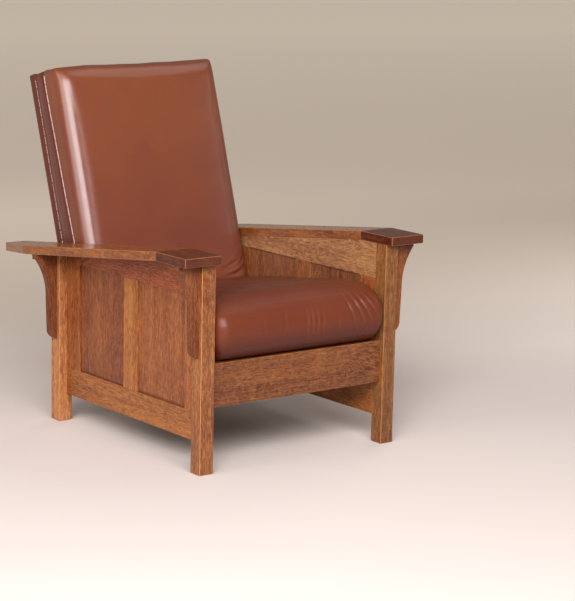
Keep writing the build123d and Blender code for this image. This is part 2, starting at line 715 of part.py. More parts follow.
def peg():
    """Headed peg in the last hole, which stops the rod at the full recline."""
    shoulder = -RACK_OUTER - PEG_SEAT_GAP
    pin = across_bar(PEG_CENTRE, shoulder, -RACK_INNER + PEG_REACH, PEG_DIAMETER)
    head = across_bar(PEG_CENTRE, shoulder - PEG_HEAD_LENGTH, shoulder, PEG_HEAD_DIAMETER)
    rim = head.edges().filter_by(GeomType.CIRCLE).sort_by(Axis.X)[0]
    return chamfer(rim, PEG_HEAD_CHAMFER) + pin


save_pair("front_post", front_post())
save_pair("rear_post", rear_post())
arm_front, arm_rear = arm_sections()
save_pair("arm_front", arm_front)
save_pair("arm_rear", arm_rear)

save_pair("side_bottom_rail", side_bottom_rail())
save_pair("side_top_rail", side_top_rail())
mullion_start = POST + SIDE_STILE + OPENING_WIDTH
save_pair("side_front_stile", side_upright(POST, False, True))
save_pair("side_mullion", side_upright(mullion_start, True, True))
save_pair("side_rear_stile", side_upright(REAR_POST_FRONT - SIDE_STILE, True, False))
save_pair("side_panel_front", side_panel(POST + SIDE_STILE))
save_pair("side_panel_rear", side_panel(mullion_start + SIDE_STILE))
save_pair("corbel_front", corbel(POST / 2))
save_pair("corbel_rear", corbel(REAR_POST_FRONT + POST / 2))

save("front_rail", cross_rail(FRONT_RAIL_SETBACK))
save("rear_rail", cross_rail(DECK_END))
save_pair("seat_cleat", seat_cleat())
save_pair("seat_frame_side", seat_frame_side())
save("seat_frame_front", seat_frame_end(FRAME_START, FRAME_START + SEAT_FRAME_WIDTH))
save("seat_frame_rear", seat_frame_end(FRAME_END - SEAT_FRAME_WIDTH, FRAME_END))
save("seat_webbing", seat_straps())
save("seat_cushion", seat_cushion())

save_pair("back_stile", back_stile())
save("back_top_rail", back_rail(BACK_ABOVE_PIVOT - LEATHER - BACK_RAIL_WIDTH))
back_middle = (BACK_ABOVE_PIVOT - BACK_BELOW_PIVOT - BACK_RAIL_WIDTH) / 2
save("back_middle_rail", back_rail(back_middle))
save("back_bottom_rail", back_rail(-BACK_BELOW_PIVOT))
save("back_webbing", back_straps())
save("outside_back_panel", outside_back_panel())
save_pair("back_band", back_band_side())
save("back_band_top", back_band_top())
save("back_cushion", back_cushion())

save_pair("pivot_pin", pivot_pin())
save_pair("pivot_spacer", pivot_spacer())
save_pair("rack_plate", rack_plate())
save_pair("rack_shelf", rack_shelf())
save("support_rod", support_rod())
save_pair("peg", peg())
print("rod centre y, z:", round(ROD_CENTRE.Y, 2), round(ROD_CENTRE.Z, 2))
print("rod travel:", round(ROD_TRAVEL, 3), "peg y, z:", round(PEG_CENTRE.Y, 2), round(PEG_CENTRE.Z, 2))
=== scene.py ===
import json
import math

import bmesh
import bpy
from bpy.props import FloatProperty, FloatVectorProperty, IntProperty, PointerProperty
from mathutils import Matrix, Vector, noise


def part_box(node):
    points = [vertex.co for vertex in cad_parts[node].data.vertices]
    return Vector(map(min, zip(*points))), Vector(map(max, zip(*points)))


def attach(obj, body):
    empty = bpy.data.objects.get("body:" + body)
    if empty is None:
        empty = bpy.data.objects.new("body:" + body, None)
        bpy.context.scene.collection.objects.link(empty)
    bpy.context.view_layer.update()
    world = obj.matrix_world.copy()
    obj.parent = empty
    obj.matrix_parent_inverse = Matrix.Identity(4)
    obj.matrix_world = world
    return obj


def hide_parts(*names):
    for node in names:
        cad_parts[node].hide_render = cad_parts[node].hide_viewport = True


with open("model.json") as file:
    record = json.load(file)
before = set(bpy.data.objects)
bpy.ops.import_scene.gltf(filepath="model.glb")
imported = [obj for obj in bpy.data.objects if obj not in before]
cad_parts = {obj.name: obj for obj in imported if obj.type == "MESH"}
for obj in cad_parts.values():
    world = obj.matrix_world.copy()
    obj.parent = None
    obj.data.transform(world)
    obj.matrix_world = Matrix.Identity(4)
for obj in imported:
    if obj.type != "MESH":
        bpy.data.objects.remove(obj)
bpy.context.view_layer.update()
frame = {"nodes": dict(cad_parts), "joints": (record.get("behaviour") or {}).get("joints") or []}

bl_info = {
    "name": "Mission reclining armchair",
    "version": (1, 0, 0),
    "blender": (4, 5, 0),
    "location": "View3D > Sidebar > Armchair",
    "description": "Dresses the frame of an oak armchair with leather cushions",
    "category": "Object",
}

NODES = frame["nodes"]
JOINTS = {joint["name"]: joint for joint in frame["joints"]}
MM = 0.001

# The back's own axes: across the chair, rearwards through its thickness, and up its height
PIVOT = Vector(JOINTS["back_recline"]["pos_m"])
BACK_LEAN = math.radians(18.4)
BACK_PLACE = Matrix.Translation(PIVOT) @ Matrix.Rotation(-BACK_LEAN, 4, "X")


def colour_property(name, description, value):
    """Colour that a user can change."""
    return FloatVectorProperty(
        name=name, description=description, subtype="COLOR", size=3, min=0, max=1, default=value)


def length_property(name, description, value):
    """Length that a user can change."""
    return FloatProperty(name=name, description=description, unit="LENGTH", min=0, default=value)


class ARMCHAIR_PG_finishes(bpy.types.PropertyGroup):
    """Colours of the wood, leather and thread."""

    oak_gold: colour_property("Golden oak", "Lightest streaks", (0.390, 0.142, 0.030))
    oak_brown: colour_property("Brown oak", "Most of the wood", (0.215, 0.064, 0.015))
    # Dark oak: pores and grain lines, and also the painted shade at the panels' foot
    oak_dark_and_shade: colour_property("Dark oak", "Pores and grain lines", (0.070, 0.016, 0.006))
    oak_red: colour_property("Red oak stain", "Patches that took more stain", (0.150, 0.030, 0.010))
    # Oak edges: pale crests, flecks and glints of the figure; on the eased edges it stands for less stain
    # and a painted highlight
    oak_pale_and_edge_highlight: colour_property("Oak edges", "Eased edges with less stain", (0.52, 0.21, 0.055))
    plain_wood: colour_property("Inner wood", "Unstained frame inside", (0.42, 0.28, 0.15))
    leather: colour_property("Leather", "Reddish brown leather", (0.148, 0.033, 0.016))
    leather_warm: colour_property("Warm leather", "Browner patches", (0.178, 0.046, 0.0145))
    # Dark leather: mottling and pebble lines, and also painted shade low on the seat's front and along
    # the back's seam hollow
    leather_dark_and_shade: colour_property("Dark leather", "Leather in creases", (0.048, 0.0070, 0.0055))
    leather_boxing: colour_property("Boxing", "Maroon leather at the edge", (0.090, 0.0120, 0.0085))
    thread: colour_property("Thread", "Pale topstitching", (0.85, 0.72, 0.64))
    webbing: colour_property("Webbing", "Woven seat straps", (0.035, 0.030, 0.028))
    floor: colour_property("Floor", "Pale studio floor", (0.655, 0.590, 0.550))
    backdrop_low: colour_property("Low backdrop", "Floor behind the chair", (0.60, 0.51, 0.425))
    backdrop: colour_property("Backdrop", "Floor far behind the chair", (0.765, 0.66, 0.548))


class ARMCHAIR_PG_upholstery(bpy.types.PropertyGroup):
    """Sizes of the cushions, seams and stitches."""

    voxel: length_property("Voxel", "Size of the cushion meshes' cells", 0.006)
    stitch: length_property("Stitch", "Length of one stitch", 0.0055)
    stitch_gap: length_property("Stitch gap", "Space between two stitches", 0.0030)
    thread_width: length_property("Thread width", "Thickness of the thread", 0.0021)
    seam_depth: length_property("Seam depth", "How far a seam draws the leather in", 0.0035)
    seam_width: length_property("Seam width", "Width of the hollow at a seam", 0.0060)
    seat_swell: length_property("Seat swell", "Most that the seat's cover may rise", 0.005)
    back_swell: length_property("Back swell", "Most that the back's cover may rise", 0.003)
    pressure: FloatProperty(name="Pressure", description="Push of the filling", default=4.0, min=0)
    settle_frames: IntProperty(name="Frames", description="Steps that the covers take", default=20)


class ARMCHAIR_PG_stage(bpy.types.PropertyGroup):
    """Camera and lamps."""

    key: FloatProperty(name="Key", description="Strength of the main light", default=1.2, min=0)
    fill: FloatProperty(name="Fill", description="Strength of the light behind", default=0.8, min=0)
    air: FloatProperty(name="Air", description="Light from all round", default=0.62, min=0)
    lens: FloatProperty(name="Lens", description="Focal length in mm", default=129.317)
    yaw: FloatProperty(name="Yaw", description="Turn to the right", default=0.6582, subtype="ANGLE")
    pitch: FloatProperty(name="Pitch", description="Tilt down", default=0.1910, subtype="ANGLE")
    roll: FloatProperty(name="Roll", description="Tilt to the side", default=0.0225, subtype="ANGLE")
    place: FloatVectorProperty(
        name="Camera", description="Where the camera stands", subtype="XYZ", unit="LENGTH",
        default=(-3.7415, -5.2710, 1.6384))


# Shader helpers
class Shader:
    """Adds and links the nodes of one material."""

    def __init__(self, name):
        self.material = bpy.data.materials.new(name)
        self.material.use_nodes = True
        self.tree = self.material.node_tree
        self.surface = self.tree.nodes["Principled BSDF"]
        self.coordinates = self.tree.nodes.new("ShaderNodeTexCoord")
        self.position = self.coordinates.outputs["Object"]

    def node(self, kind, inputs=None, **settings):
        made = self.tree.nodes.new(kind)
        for key, value in settings.items():
            setattr(made, key, value)
        for key, value in (inputs or {}).items():
            self.feed(made.inputs[key], value)
        return made

    def feed(self, socket, value):
        if isinstance(value, bpy.types.NodeSocket):
            self.tree.links.new(value, socket)
        else:
            socket.default_value = value

    def stretched(self, scale, offset=(0, 0, 0), turn=(0, 0, 0)):
        """Object coordinates, scaled along each axis."""
        made = self.node("ShaderNodeMapping", {
            "Vector": self.position, "Location": offset, "Rotation": turn, "Scale": scale})
        return made.outputs["Vector"]

    def noise(self, vector, scale=1.0, detail=2.0, roughness=0.5, distortion=0.0):
        made = self.node("ShaderNodeTexNoise", {
            "Vector": vector, "Scale": scale, "Detail": detail,
            "Roughness": roughness, "Distortion": distortion})
        return made.outputs["Fac"]

    def along(self, direction):
        """How far a place lies along a direction."""
        made = self.node(
            "ShaderNodeVectorMath", {0: self.position, 1: direction}, operation="DOT_PRODUCT")
        return made.outputs["Value"]

    def ramp(self, value, low, high, low_to=0.0, high_to=1.0):
        made = self.node("ShaderNodeMapRange", {
            "Value": value, "From Min": low, "From Max": high, "To Min": low_to, "To Max": high_to})
        return made.outputs["Result"]

    def maths(self, operation, first, second):
        made = self.node("ShaderNodeMath", {0: first, 1: second}, operation=operation)
        return made.outputs["Value"]

    def mix(self, share, first, second, blend="MIX"):
        made = self.node("ShaderNodeMix", data_type="RGBA", blend_type=blend)
        self.feed(made.inputs["Factor"], share)
        self.feed(made.inputs["A"], rgba(first))
        self.feed(made.inputs["B"], rgba(second))
        return made.outputs["Result"]

    def bump(self, height, strength, distance, before=None):
        made = self.node("ShaderNodeBump", {
            "Height": height, "Strength": strength, "Distance": distance})
        if before is not None:
            self.feed(made.inputs["Normal"], before)
        return made.outputs["Normal"]

    def finish(self, **sockets):
        for key, value in sockets.items():
            self.feed(self.surface.inputs[key.replace("_", " ")], rgba(value))
        return self.material


def rgba(value):
    """Colour with its alpha, or the value as it is."""
    if isinstance(value, bpy.types.NodeSocket) or isinstance(value, (int, float)):
        return value
    return (*value[:3], 1.0)


def along_grain(grain, across, along):
    """Scale that stretches a pattern along one axis."""
    return tuple(along if axis == grain else across for axis in "XYZ")


def oak(name, grain, seed, tone, red, fleck, face, edges, gloss=0.34, coat=0.10, fall=0.0, foot=None):
    """Stained oak: streaks, pores, the wavy figure and the rays that quarter sawing shows, with painted
    shade at a panel's foot and, on eased edges, less stain and a painted highlight.
    """
    finishes = bpy.context.scene.armchair_finishes
    shader = Shader(name)
    offset = (seed * 0.37, seed * 0.61, seed * 0.23)
    turn = (fall, 0, 0)
    warp = shader.node("ShaderNodeTexNoise", {
        "Vector": shader.stretched(along_grain(grain, 9, 3), offset, turn),
        "Scale": 1.0, "Detail": 1.0}).outputs["Color"]
    bend = shader.node("ShaderNodeVectorMath", {
        0: warp, "Scale": 0.012}, operation="SCALE").outputs["Vector"]
    place = shader.node("ShaderNodeVectorMath", {
        0: shader.position, 1: bend}, operation="ADD").outputs["Vector"]

    def grained(across, along, shift=0.0):
        moved = tuple(value + shift for value in offset)
        return shader.node("ShaderNodeMapping", {
            "Vector": place, "Location": moved, "Rotation": turn,
            "Scale": along_grain(grain, across, along)}).outputs["Vector"]

    bands = shader.noise(grained(30, 1.0), detail=4, roughness=0.6)
    lines = shader.noise(grained(150, 5.0, 1.0), detail=3, roughness=0.65)
    dashes = shader.noise(grained(380, 40, 2.0), detail=2, roughness=0.6)
    glints = shader.noise(grained(330, 36, 5.0), detail=2, roughness=0.6, distortion=0.6)
    pores = shader.noise(grained(1100, 60, 3.0), detail=1)
    field = shader.noise(grained(19, 7.5, 4.0), detail=2, distortion=0.9)
    waves = shader.maths("SINE", shader.maths("MULTIPLY", field, 78.0), 0.0)
    ray_scale = [26.0, 26.0, 26.0]
    ray_scale["XYZ".index(grain)] = 62.0
    ray_scale["XYZ".index(face)] = 9.0
    rays = shader.noise(
        shader.node("ShaderNodeMapping", {
            "Vector": place, "Location": offset, "Rotation": (fall + 0.28, 0.20, 0.24),
            "Scale": tuple(ray_scale)}).outputs["Vector"],
        detail=4, roughness=0.6, distortion=1.2)
    patches = shader.noise(shader.stretched((5, 5, 5), offset), detail=2)
    tint = shader.noise(shader.stretched((3.1, 3.1, 3.1), offset), detail=2)
    body = shader.mix(shader.ramp(bands, 0.36, 0.66), finishes.oak_brown, finishes.oak_gold)
    least_red, most_red = max(red - 0.3, 0.0), min(red + 0.35, 1.0)
    stained = shader.mix(shader.ramp(tint, 0.40, 0.66, least_red, most_red), body, finishes.oak_red)
    lined = shader.mix(shader.ramp(lines, 0.50, 0.70, 0.0, 0.42), stained, finishes.oak_dark_and_shade)
    light_lines = shader.mix(shader.ramp(lines, 0.32, 0.44, 0.5, 0.0), lined, finishes.oak_gold)
    figure = shader.maths(
        "MULTIPLY", shader.ramp(waves, 0.1, 0.9), shader.ramp(patches, 0.44, 0.58))
    troughs = shader.mix(shader.maths("MULTIPLY", figure, 0.42 * fleck), light_lines, finishes.oak_dark_and_shade)
    crests = shader.maths(
        "MULTIPLY", shader.ramp(waves, -0.55, -0.95), shader.ramp(patches, 0.40, 0.54))
    waved = shader.mix(shader.maths("MULTIPLY", crests, 0.40 * fleck), troughs, finishes.oak_pale_and_edge_highlight)
    ray_mask = shader.maths(
        "MULTIPLY", shader.ramp(rays, 0.535, 0.585), shader.ramp(patches, 0.40, 0.56, 1.0, 0.25))
    flecked = shader.mix(shader.maths("MULTIPLY", ray_mask, fleck * 0.34), waved, finishes.oak_pale_and_edge_highlight)
    glinting = shader.mix(shader.ramp(glints, 0.51, 0.63, 0.0, 0.42), flecked, finishes.oak_pale_and_edge_highlight)
    dashed = shader.mix(shader.ramp(dashes, 0.50, 0.64, 0.0, 0.58), glinting, finishes.oak_dark_and_shade)
    pore_mask = shader.ramp(pores, 0.58, 0.68, 0.0, 0.6)
    pored = shader.mix(pore_mask, dashed, tuple(c * 0.5 for c in finishes.oak_dark_and_shade))
    toned = shader.mix(1.0, pored, tone, "MULTIPLY")
    # Painted shade: darker just above the panel's foot, where it meets the rail
    if foot:
        shade = shader.ramp(shader.along((0, 0, 1)), foot, foot + PAINTED_FOOT_SHADE, 0.80, 0.0)
        toned = shader.mix(shade, toned, finishes.oak_dark_and_shade)
    # Paler eased edges: less stain there and a painted highlight along them
    if edges:
        eased = shader.maths("MULTIPLY", edge_mask(shader), edges)
        toned = shader.mix(eased, toned, finishes.oak_pale_and_edge_highlight)
    hollows = shader.maths(
        "ADD", shader.maths("MULTIPLY", dashes, 0.5), shader.maths("MULTIPLY", pores, 0.5))
    normal = shader.bump(hollows, 0.30, -0.0006)
    rough = shader.ramp(dashes, 0.35, 0.65, gloss, gloss + 0.12)
    return shader.finish(
        Base_Color=toned, Roughness=rough, Normal=normal, Specular_IOR_Level=0.34,
        Coat_Weight=coat, Coat_Roughness=0.18)


def edge_mask(shader):
    """One on the narrow slanting faces along a board's edges, zero on its broad faces."""
    normal = shader.coordinates.outputs["Normal"]
    parts = shader.node("ShaderNodeSeparateXYZ", {"Vector": normal})
    sizes = [shader.maths("ABSOLUTE", parts.outputs[axis], 0.0) for axis in "XYZ"]
    widest = shader.maths("MAXIMUM", shader.maths("MAXIMUM", sizes[0], sizes[1]), sizes[2])
    return shader.ramp(widest, 0.80, 0.90, 1.0, 0.0)


def plain_wood(name, grain, seed):
    """Unstained hardwood of the hidden frames."""
    finishes = bpy.context.scene.armchair_finishes
    shader = Shader(name)
    offset = (seed * 0.3, seed * 0.5, seed * 0.7)
    bands = shader.noise(shader.stretched(along_grain(grain, 40, 1.5), offset), detail=3)
    pores = shader.noise(shader.stretched(along_grain(grain, 700, 20), offset), detail=1)
    wood = finishes.plain_wood
    body = shader.mix(shader.ramp(bands, 0.35, 0.65), tuple(c * 0.72 for c in wood), wood)
    pored = shader.mix(shader.ramp(pores, 0.6, 0.7, 0.0, 0.4), body, tuple(c * 0.4 for c in wood))
    return shader.finish(
        Base_Color=pored, Roughness=shader.ramp(bands, 0.3, 0.7, 0.55, 0.7),
        Normal=shader.bump(pores, 0.15, 0.0005))


def leather(name, seed, coat, tone=1.0, gloss=0.29, shine=0.40, warm=1.0, maroon=0.0,
            dark=None, seam=None):
    """Smooth glossy leather with a fine pebble and soft mottling.

    Maroon is a share of the boxing's colour over all of it. Dark holds a direction, where a change
    starts and ends along it, its share and its colour; on the seat it is painted shade low on the front.
    Seam holds a direction, a place, a width and a share of dark leather, painted shade along the
    seam's hollow.
    """
    finishes = bpy.context.scene.armchair_finishes
    shader = Shader(name)
    offset = (seed, seed * 0.7, seed * 1.3)
    mottle = shader.noise(shader.stretched((2.6, 2.6, 2.6), offset), detail=2, roughness=0.5)
    cloud = shader.noise(shader.stretched((22, 22, 22), offset), detail=2, roughness=0.5)
    cells = shader.node("ShaderNodeTexVoronoi", {
        "Vector": shader.stretched((1, 1, 1), offset), "Scale": 620.0, "Randomness": 1.0},
        feature="DISTANCE_TO_EDGE").outputs["Distance"]
    crease = shader.noise(shader.stretched((130, 130, 130), offset), detail=4, distortion=1.0)
    body = shader.mix(
        shader.ramp(mottle, 0.38, 0.62, 0.0, warm), tuple(c * tone for c in finishes.leather),
        tuple(c * tone for c in finishes.leather_warm))
    clouded = shader.mix(shader.ramp(cloud, 0.42, 0.78, 0.0, 0.07), body, finishes.leather_dark_and_shade)
    lined = shader.mix(shader.ramp(cells, 0.0, 0.10, 0.22, 0.0), clouded, finishes.leather_dark_and_shade)
    if maroon:
        lined = shader.mix(maroon, lined, finishes.leather_boxing)
    if dark:
        direction, low, high, share, colour = dark
        lined = shader.mix(shader.ramp(shader.along(direction), low, high, share, 0.0), lined, colour)
    # Painted shade: dark leather along the seam's hollow
    if seam:
        direction, middle, width, share = seam
        off = shader.maths("ABSOLUTE", shader.maths("SUBTRACT", shader.along(direction), middle), 0.0)
        near = shader.ramp(off, width * 0.4, width, share, 0.0)
        lined = shader.mix(near, lined, finishes.leather_dark_and_shade)
    pebble = shader.bump(shader.ramp(cells, 0.0, 0.22), 0.10, 0.0004)
    normal = shader.bump(crease, 0.05, 0.0008, pebble)
    rough = shader.ramp(cloud, 0.3, 0.7, gloss, gloss + 0.07)
    return shader.finish(
        Base_Color=lined, Roughness=rough, Normal=normal, Specular_IOR_Level=shine,
        Coat_Weight=coat, Coat_Roughness=0.24)


def thread_material():
    thread = bpy.context.scene.armchair_finishes.thread
    shader = Shader("pale_thread")
    twist = shader.noise(shader.stretched((900, 900, 2200)), detail=1)
    body = shader.mix(shader.ramp(twist, 0.35, 0.65), tuple(c * 0.8 for c in thread), thread)
    return shader.finish(Base_Color=body, Roughness=0.55, Normal=shader.bump(twist, 0.3, 0.0003))


def webbing_material():
    webbing = bpy.context.scene.armchair_finishes.webbing
    shader = Shader("woven_straps")
    weave = shader.node("ShaderNodeTexWave", {
        "Vector": shader.stretched((1, 1, 1)), "Scale": 260.0, "Distortion": 0.4},
        bands_direction="X").outputs["Fac"]
    ribs = shader.node("ShaderNodeTexWave", {
        "Vector": shader.stretched((1, 1, 1)), "Scale": 300.0, "Distortion": 0.3},
        bands_direction="Y").outputs["Fac"]
    both = shader.maths("MULTIPLY", weave, ribs)
    body = shader.mix(both, webbing, tuple(c * 3.5 for c in webbing))
    return shader.finish(Base_Color=body, Roughness=0.8, Normal=shader.bump(both, 0.5, 0.0006))


def steel_material():
    shader = Shader("turned_steel")
    turning = shader.noise(shader.stretched((60, 1400, 1400)), detail=1)
    body = shader.mix(turning, (0.42, 0.42, 0.43), (0.62, 0.62, 0.63))
    return shader.finish(
        Base_Color=body, Metallic=1.0, Roughness=0.32, Normal=shader.bump(turning, 0.1, 0.0002))


def nylon_material():
    shader = Shader("pale_nylon")
    speck = shader.noise(shader.stretched((600, 600, 600)), detail=2)
    body = shader.mix(speck, (0.62, 0.60, 0.55), (0.74, 0.72, 0.67))
    return shader.finish(Base_Color=body, Roughness=0.5, Normal=shader.bump(speck, 0.1, 0.0003))


def paint(nodes, material):
    """Give CAD nodes one material."""
    for node in nodes:
        slots = NODES[node].data.materials
        slots.clear()
        slots.append(material)


def both_sides(name):
    """The left and right nodes of a piece."""
    return [f"{name}_left", f"{name}_right"]


ARM_SLOPE = math.radians(6.9)
# Painted shade in the corner between each panel and the rail below it: each panel darkens just above the
# rail
PANEL_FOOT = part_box("side_bottom_rail_left")[1].z
PAINTED_FOOT_SHADE = 0.009
# Each finish: its name, its boards, grain axis, tone, share of red stain, share of fleck, wide face,
# slope and how pale its eased edges are, which is less stain and a painted highlight. Its place in the
# list gives its figure. The tones differ from board to board partly as painted light: they stand in
# for more or less light, and for sheen, falling on each board.
OAK_BOARDS = [
    ("oak_front_post_left", ["front_post_left"], "Z", (0.91, 0.96, 1.14), 0.15, 0.5, "X", 0.0, 0.85),
    ("oak_front_post_right", ["front_post_right"], "Z", (0.76, 0.88, 1.06), 0.15, 0.5, "X", 0.0, 0.4),
    ("oak_rear_posts", both_sides("rear_post"), "Z", (1.43, 1.66, 2.42), 0.10, 0.5, "X", 0.0, 0.7),
    ("oak_front_stiles", both_sides("side_front_stile"),
     "Z", (1.22, 1.16, 1.16), 0.50, 0.3, "X", 0.0, 0.2),
    ("oak_rear_stiles", both_sides("side_rear_stile"), "Z", (1.06, 0.98, 0.99), 0.55, 0.3, "X", 0.0, 0.2),
    ("oak_mullion_left", ["side_mullion_left"], "Z", (1.14, 1.16, 1.17), 0.05, 0.3, "X", 0.0, 0.2),
    ("oak_front_panel_left", ["side_panel_front_left"],
     "Z", (0.89, 0.79, 0.93), 0.20, 0.6, "X", 0.0, 0.2),
    ("oak_rear_panel_left", ["side_panel_rear_left"], "Z", (0.75, 0.64, 0.82), 0.30, 0.5, "X", 0.0, 0.2),
    ("oak_panels_right", ["side_panel_front_right", "side_panel_rear_right"],
     "Z", (0.70, 0.72, 1.12), 0.30, 0.6, "X", 0.0, 0.2),
    ("oak_bottom_rails", both_sides("side_bottom_rail"),
     "Y", (1.02, 1.01, 1.00), 0.25, 0.4, "X", 0.0, 0.2),
    ("oak_top_rail_left", ["side_top_rail_left"], "Y", (1.20, 0.92, 1.20), 0.38, 0.6, "X", 0.0, 0.2),
    ("oak_top_rail_right", ["side_top_rail_right"], "Y", (1.14, 1.52, 2.60), 0.12, 0.6, "X", 0.0, 0.2),
    ("oak_front_rail", ["front_rail"], "X", (0.59, 0.55, 0.68), 0.15, 1.0, "Y", 0.0, 0.3),
    ("oak_rear_rail", ["rear_rail"], "X", (1.0, 1.0, 1.0), 0.2, 0.8, "Y", 0.0, 0.2),
    ("oak_racks", both_sides("rack_plate") + both_sides("rack_shelf"),
     "Y", (0.9, 0.9, 0.9), 0.4, 0.3, "X", ARM_SLOPE, 0.2),
    ("oak_mullion_right", ["side_mullion_right"], "Z", (0.84, 0.84, 1.20), 0.25, 0.3, "X", 0.0, 0.2),
    ("oak_rod", ["support_rod"], "X", (0.95, 0.95, 0.95), 0.3, 0.2, "Y", 0.0, 0),
    ("oak_pegs", both_sides("peg"), "X", (0.85, 0.85, 0.85), 0.3, 0.2, "Y", 0.0, 0),
]


class ARMCHAIR_OT_oak(bpy.types.Operator):
    """Finish the oak boards, arms, rod and pegs"""

    bl_idname = "armchair.oak"
    bl_label = "Oak frame"

    def execute(self, context):
        for seed, (name, nodes, grain, tone, red, fleck, face, fall, edges) in enumerate(OAK_BOARDS):
            # Panels get the painted shade at their foot
            foot = PANEL_FOOT if "panel" in name else None
            paint(nodes, oak(
                name, grain, seed + 1.0, tone, red, fleck, face, edges, fall=fall, foot=foot))
        # The arms and the corbels also have their own tones, which are partly painted light too
        paint(both_sides("arm_front"), oak(
            "oak_arm_fronts", "Y", 21.0, (0.36, 0.24, 0.33), 0.68, 0.5, "Z", 0.35, gloss=0.28, coat=0.20))
        paint(both_sides("arm_rear"), oak(
            "oak_arm_rears", "Y", 25.0, (0.92, 0.90, 0.95), 0.45, 0.6, "Z", 0.35, gloss=0.21, coat=0.32,
            fall=ARM_SLOPE))
        paint(both_sides("corbel_front") + both_sides("corbel_rear"), oak(
            "oak_corbels", "Z", 15.0, (0.67, 0.60, 0.75), 0.45, 0.3, "Y", 0, gloss=0.52, coat=0.0))
        return {"FINISHED"}


class ARMCHAIR_OT_inner_frame(bpy.types.Operator):
    """Finish the hidden wood, straps, pins and spacers"""

    bl_idname = "armchair.inner_frame"
    bl_label = "Inner frame"

    def execute(self, context):
        crosswise = ["back_top_rail", "back_middle_rail", "back_bottom_rail",
                     "seat_frame_front", "seat_frame_rear"]
        lengthwise = both_sides("seat_frame_side") + both_sides("seat_cleat")
        paint(both_sides("back_stile"), plain_wood("plain_uprights", "Z", 1.0))
        paint(crosswise, plain_wood("plain_crosswise", "X", 2.0))
        paint(lengthwise, plain_wood("plain_lengthwise", "Y", 3.0))
        paint(["seat_webbing", "back_webbing"], webbing_material())
        paint(both_sides("pivot_pin"), steel_material())
        paint(both_sides("pivot_spacer"), nylon_material())
        return {"FINISHED"}


# Mesh helpers
def new_piece(name, form, material, body):
    """Object from a filled bmesh, with its place in its mesh."""
    mesh = bpy.data.meshes.new(name)
    form.to_mesh(mesh)
    form.free()
    piece = bpy.data.objects.new(name, mesh)
    bpy.context.scene.collection.objects.link(piece)
    mesh.materials.append(material)
    for polygon in mesh.polygons:
        polygon.use_smooth = True
    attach(piece, body)
    return piece


def ease(form, edges, offset, segments):
    """Round some edges over."""
    bmesh.ops.bevel(
        form, geom=edges, offset=offset, segments=segments, profile=0.5, affect="EDGES", material=-1)


def slab(size, middle):
    """Plain box of a size about a middle."""
    form = bmesh.new()
    bmesh.ops.create_cube(form, size=1)
    bmesh.ops.scale(form, verts=form.verts, vec=size)
    bmesh.ops.translate(form, verts=form.verts, vec=middle)
    return form


def profile_block(points, x_half, edge, segments):
    """Closed block with a side outline of (y, z) points, rounded all round its two ends."""
    form = bmesh.new()
    ring = [form.verts.new((-x_half, y, z)) for y, z in points]
    end = form.faces.new(ring)
    grown = bmesh.ops.extrude_face_region(form, geom=[end])
    moved = [item for item in grown["geom"] if isinstance(item, bmesh.types.BMVert)]
    bmesh.ops.translate(form, verts=moved, vec=(2 * x_half, 0, 0))
    bmesh.ops.recalc_face_normals(form, faces=form.faces)
    rims = [
        item for item in form.edges
        if abs(item.verts[0].co.x - item.verts[1].co.x) < MM * 0.01
    ]
    ease(form, rims, edge, segments)
    return form


# The covers' cloth, and the shares of its rise and of its slip along the leather that are kept
COVER_STIFFNESS = 40
COVER_BENDING = 8
COVER_QUALITY = 4
RISE_KEPT = 0.5
SLIP_KEPT = 0.2


def remesh_and_fill(form, voxel, swell, pinned):
    """Even cells over a block, blown up by its filling as far as swell allows."""
    mesh = bpy.data.meshes.new("cushion_blank")
    form.to_mesh(mesh)
    form.free()
    blank = bpy.data.objects.new("cushion_blank", mesh)
    bpy.context.scene.collection.objects.link(blank)
    remesh = blank.modifiers.new("cells", "REMESH")
    remesh.mode = "VOXEL"
    remesh.voxel_size = voxel
    apply_modifiers(blank)
    blow_up(blank, swell, pinned)
    return blank


def blow_up(blank, swell, pinned):
    """Settle the cover as cloth under pressure, then hold its rise to the swell."""
    sizes = bpy.context.scene.armchair_upholstery
    rest = [(vertex.co.copy(), vertex.normal.copy()) for vertex in blank.data.vertices]
    group = blank.vertex_groups.new(name="held")
    held = [vertex.index for vertex in blank.data.vertices if pinned(vertex.co)]
    group.add(held, 1.0, "REPLACE")
    cloth = blank.modifiers.new("cover", "CLOTH")
    cloth.settings.vertex_group_mass = group.name
    cloth.settings.use_pressure = True
    cloth.settings.uniform_pressure_force = sizes.pressure
    cloth.settings.effector_weights.gravity = 0
    cloth.settings.tension_stiffness = COVER_STIFFNESS
    cloth.settings.compression_stiffness = COVER_STIFFNESS
    cloth.settings.bending_stiffness = COVER_BENDING
    cloth.settings.quality = COVER_QUALITY
    cloth.point_cache.frame_start = 1
    cloth.point_cache.frame_end = sizes.settle_frames
    for step in range(1, sizes.settle_frames + 1):
        bpy.context.scene.frame_set(step)
    apply_modifiers(blank)
    bpy.context.scene.frame_set(1)
    for vertex, (start, outward) in zip(blank.data.vertices, rest):
        moved = vertex.co - start
        rise = moved.dot(outward)
        slip = moved - outward * rise
        kept = swell * math.tanh(max(rise, 0) * RISE_KEPT / swell)
        vertex.co = start + outward * kept + slip * SLIP_KEPT


def apply_modifiers(piece):
    """Make the modifiers part of the mesh."""
    bpy.context.view_layer.update()
    graph = bpy.context.evaluated_depsgraph_get()
    mesh = bpy.data.meshes.new_from_object(piece.evaluated_get(graph))
    piece.modifiers.clear()
    piece.data = mesh


def form_of(piece):
    """The mesh of a scratch piece as a bmesh; the piece is deleted."""
    form = bmesh.new()
    form.from_mesh(piece.data)
    mesh = piece.data
    bpy.data.objects.remove(piece)
    bpy.data.meshes.remove(mesh)
    return form


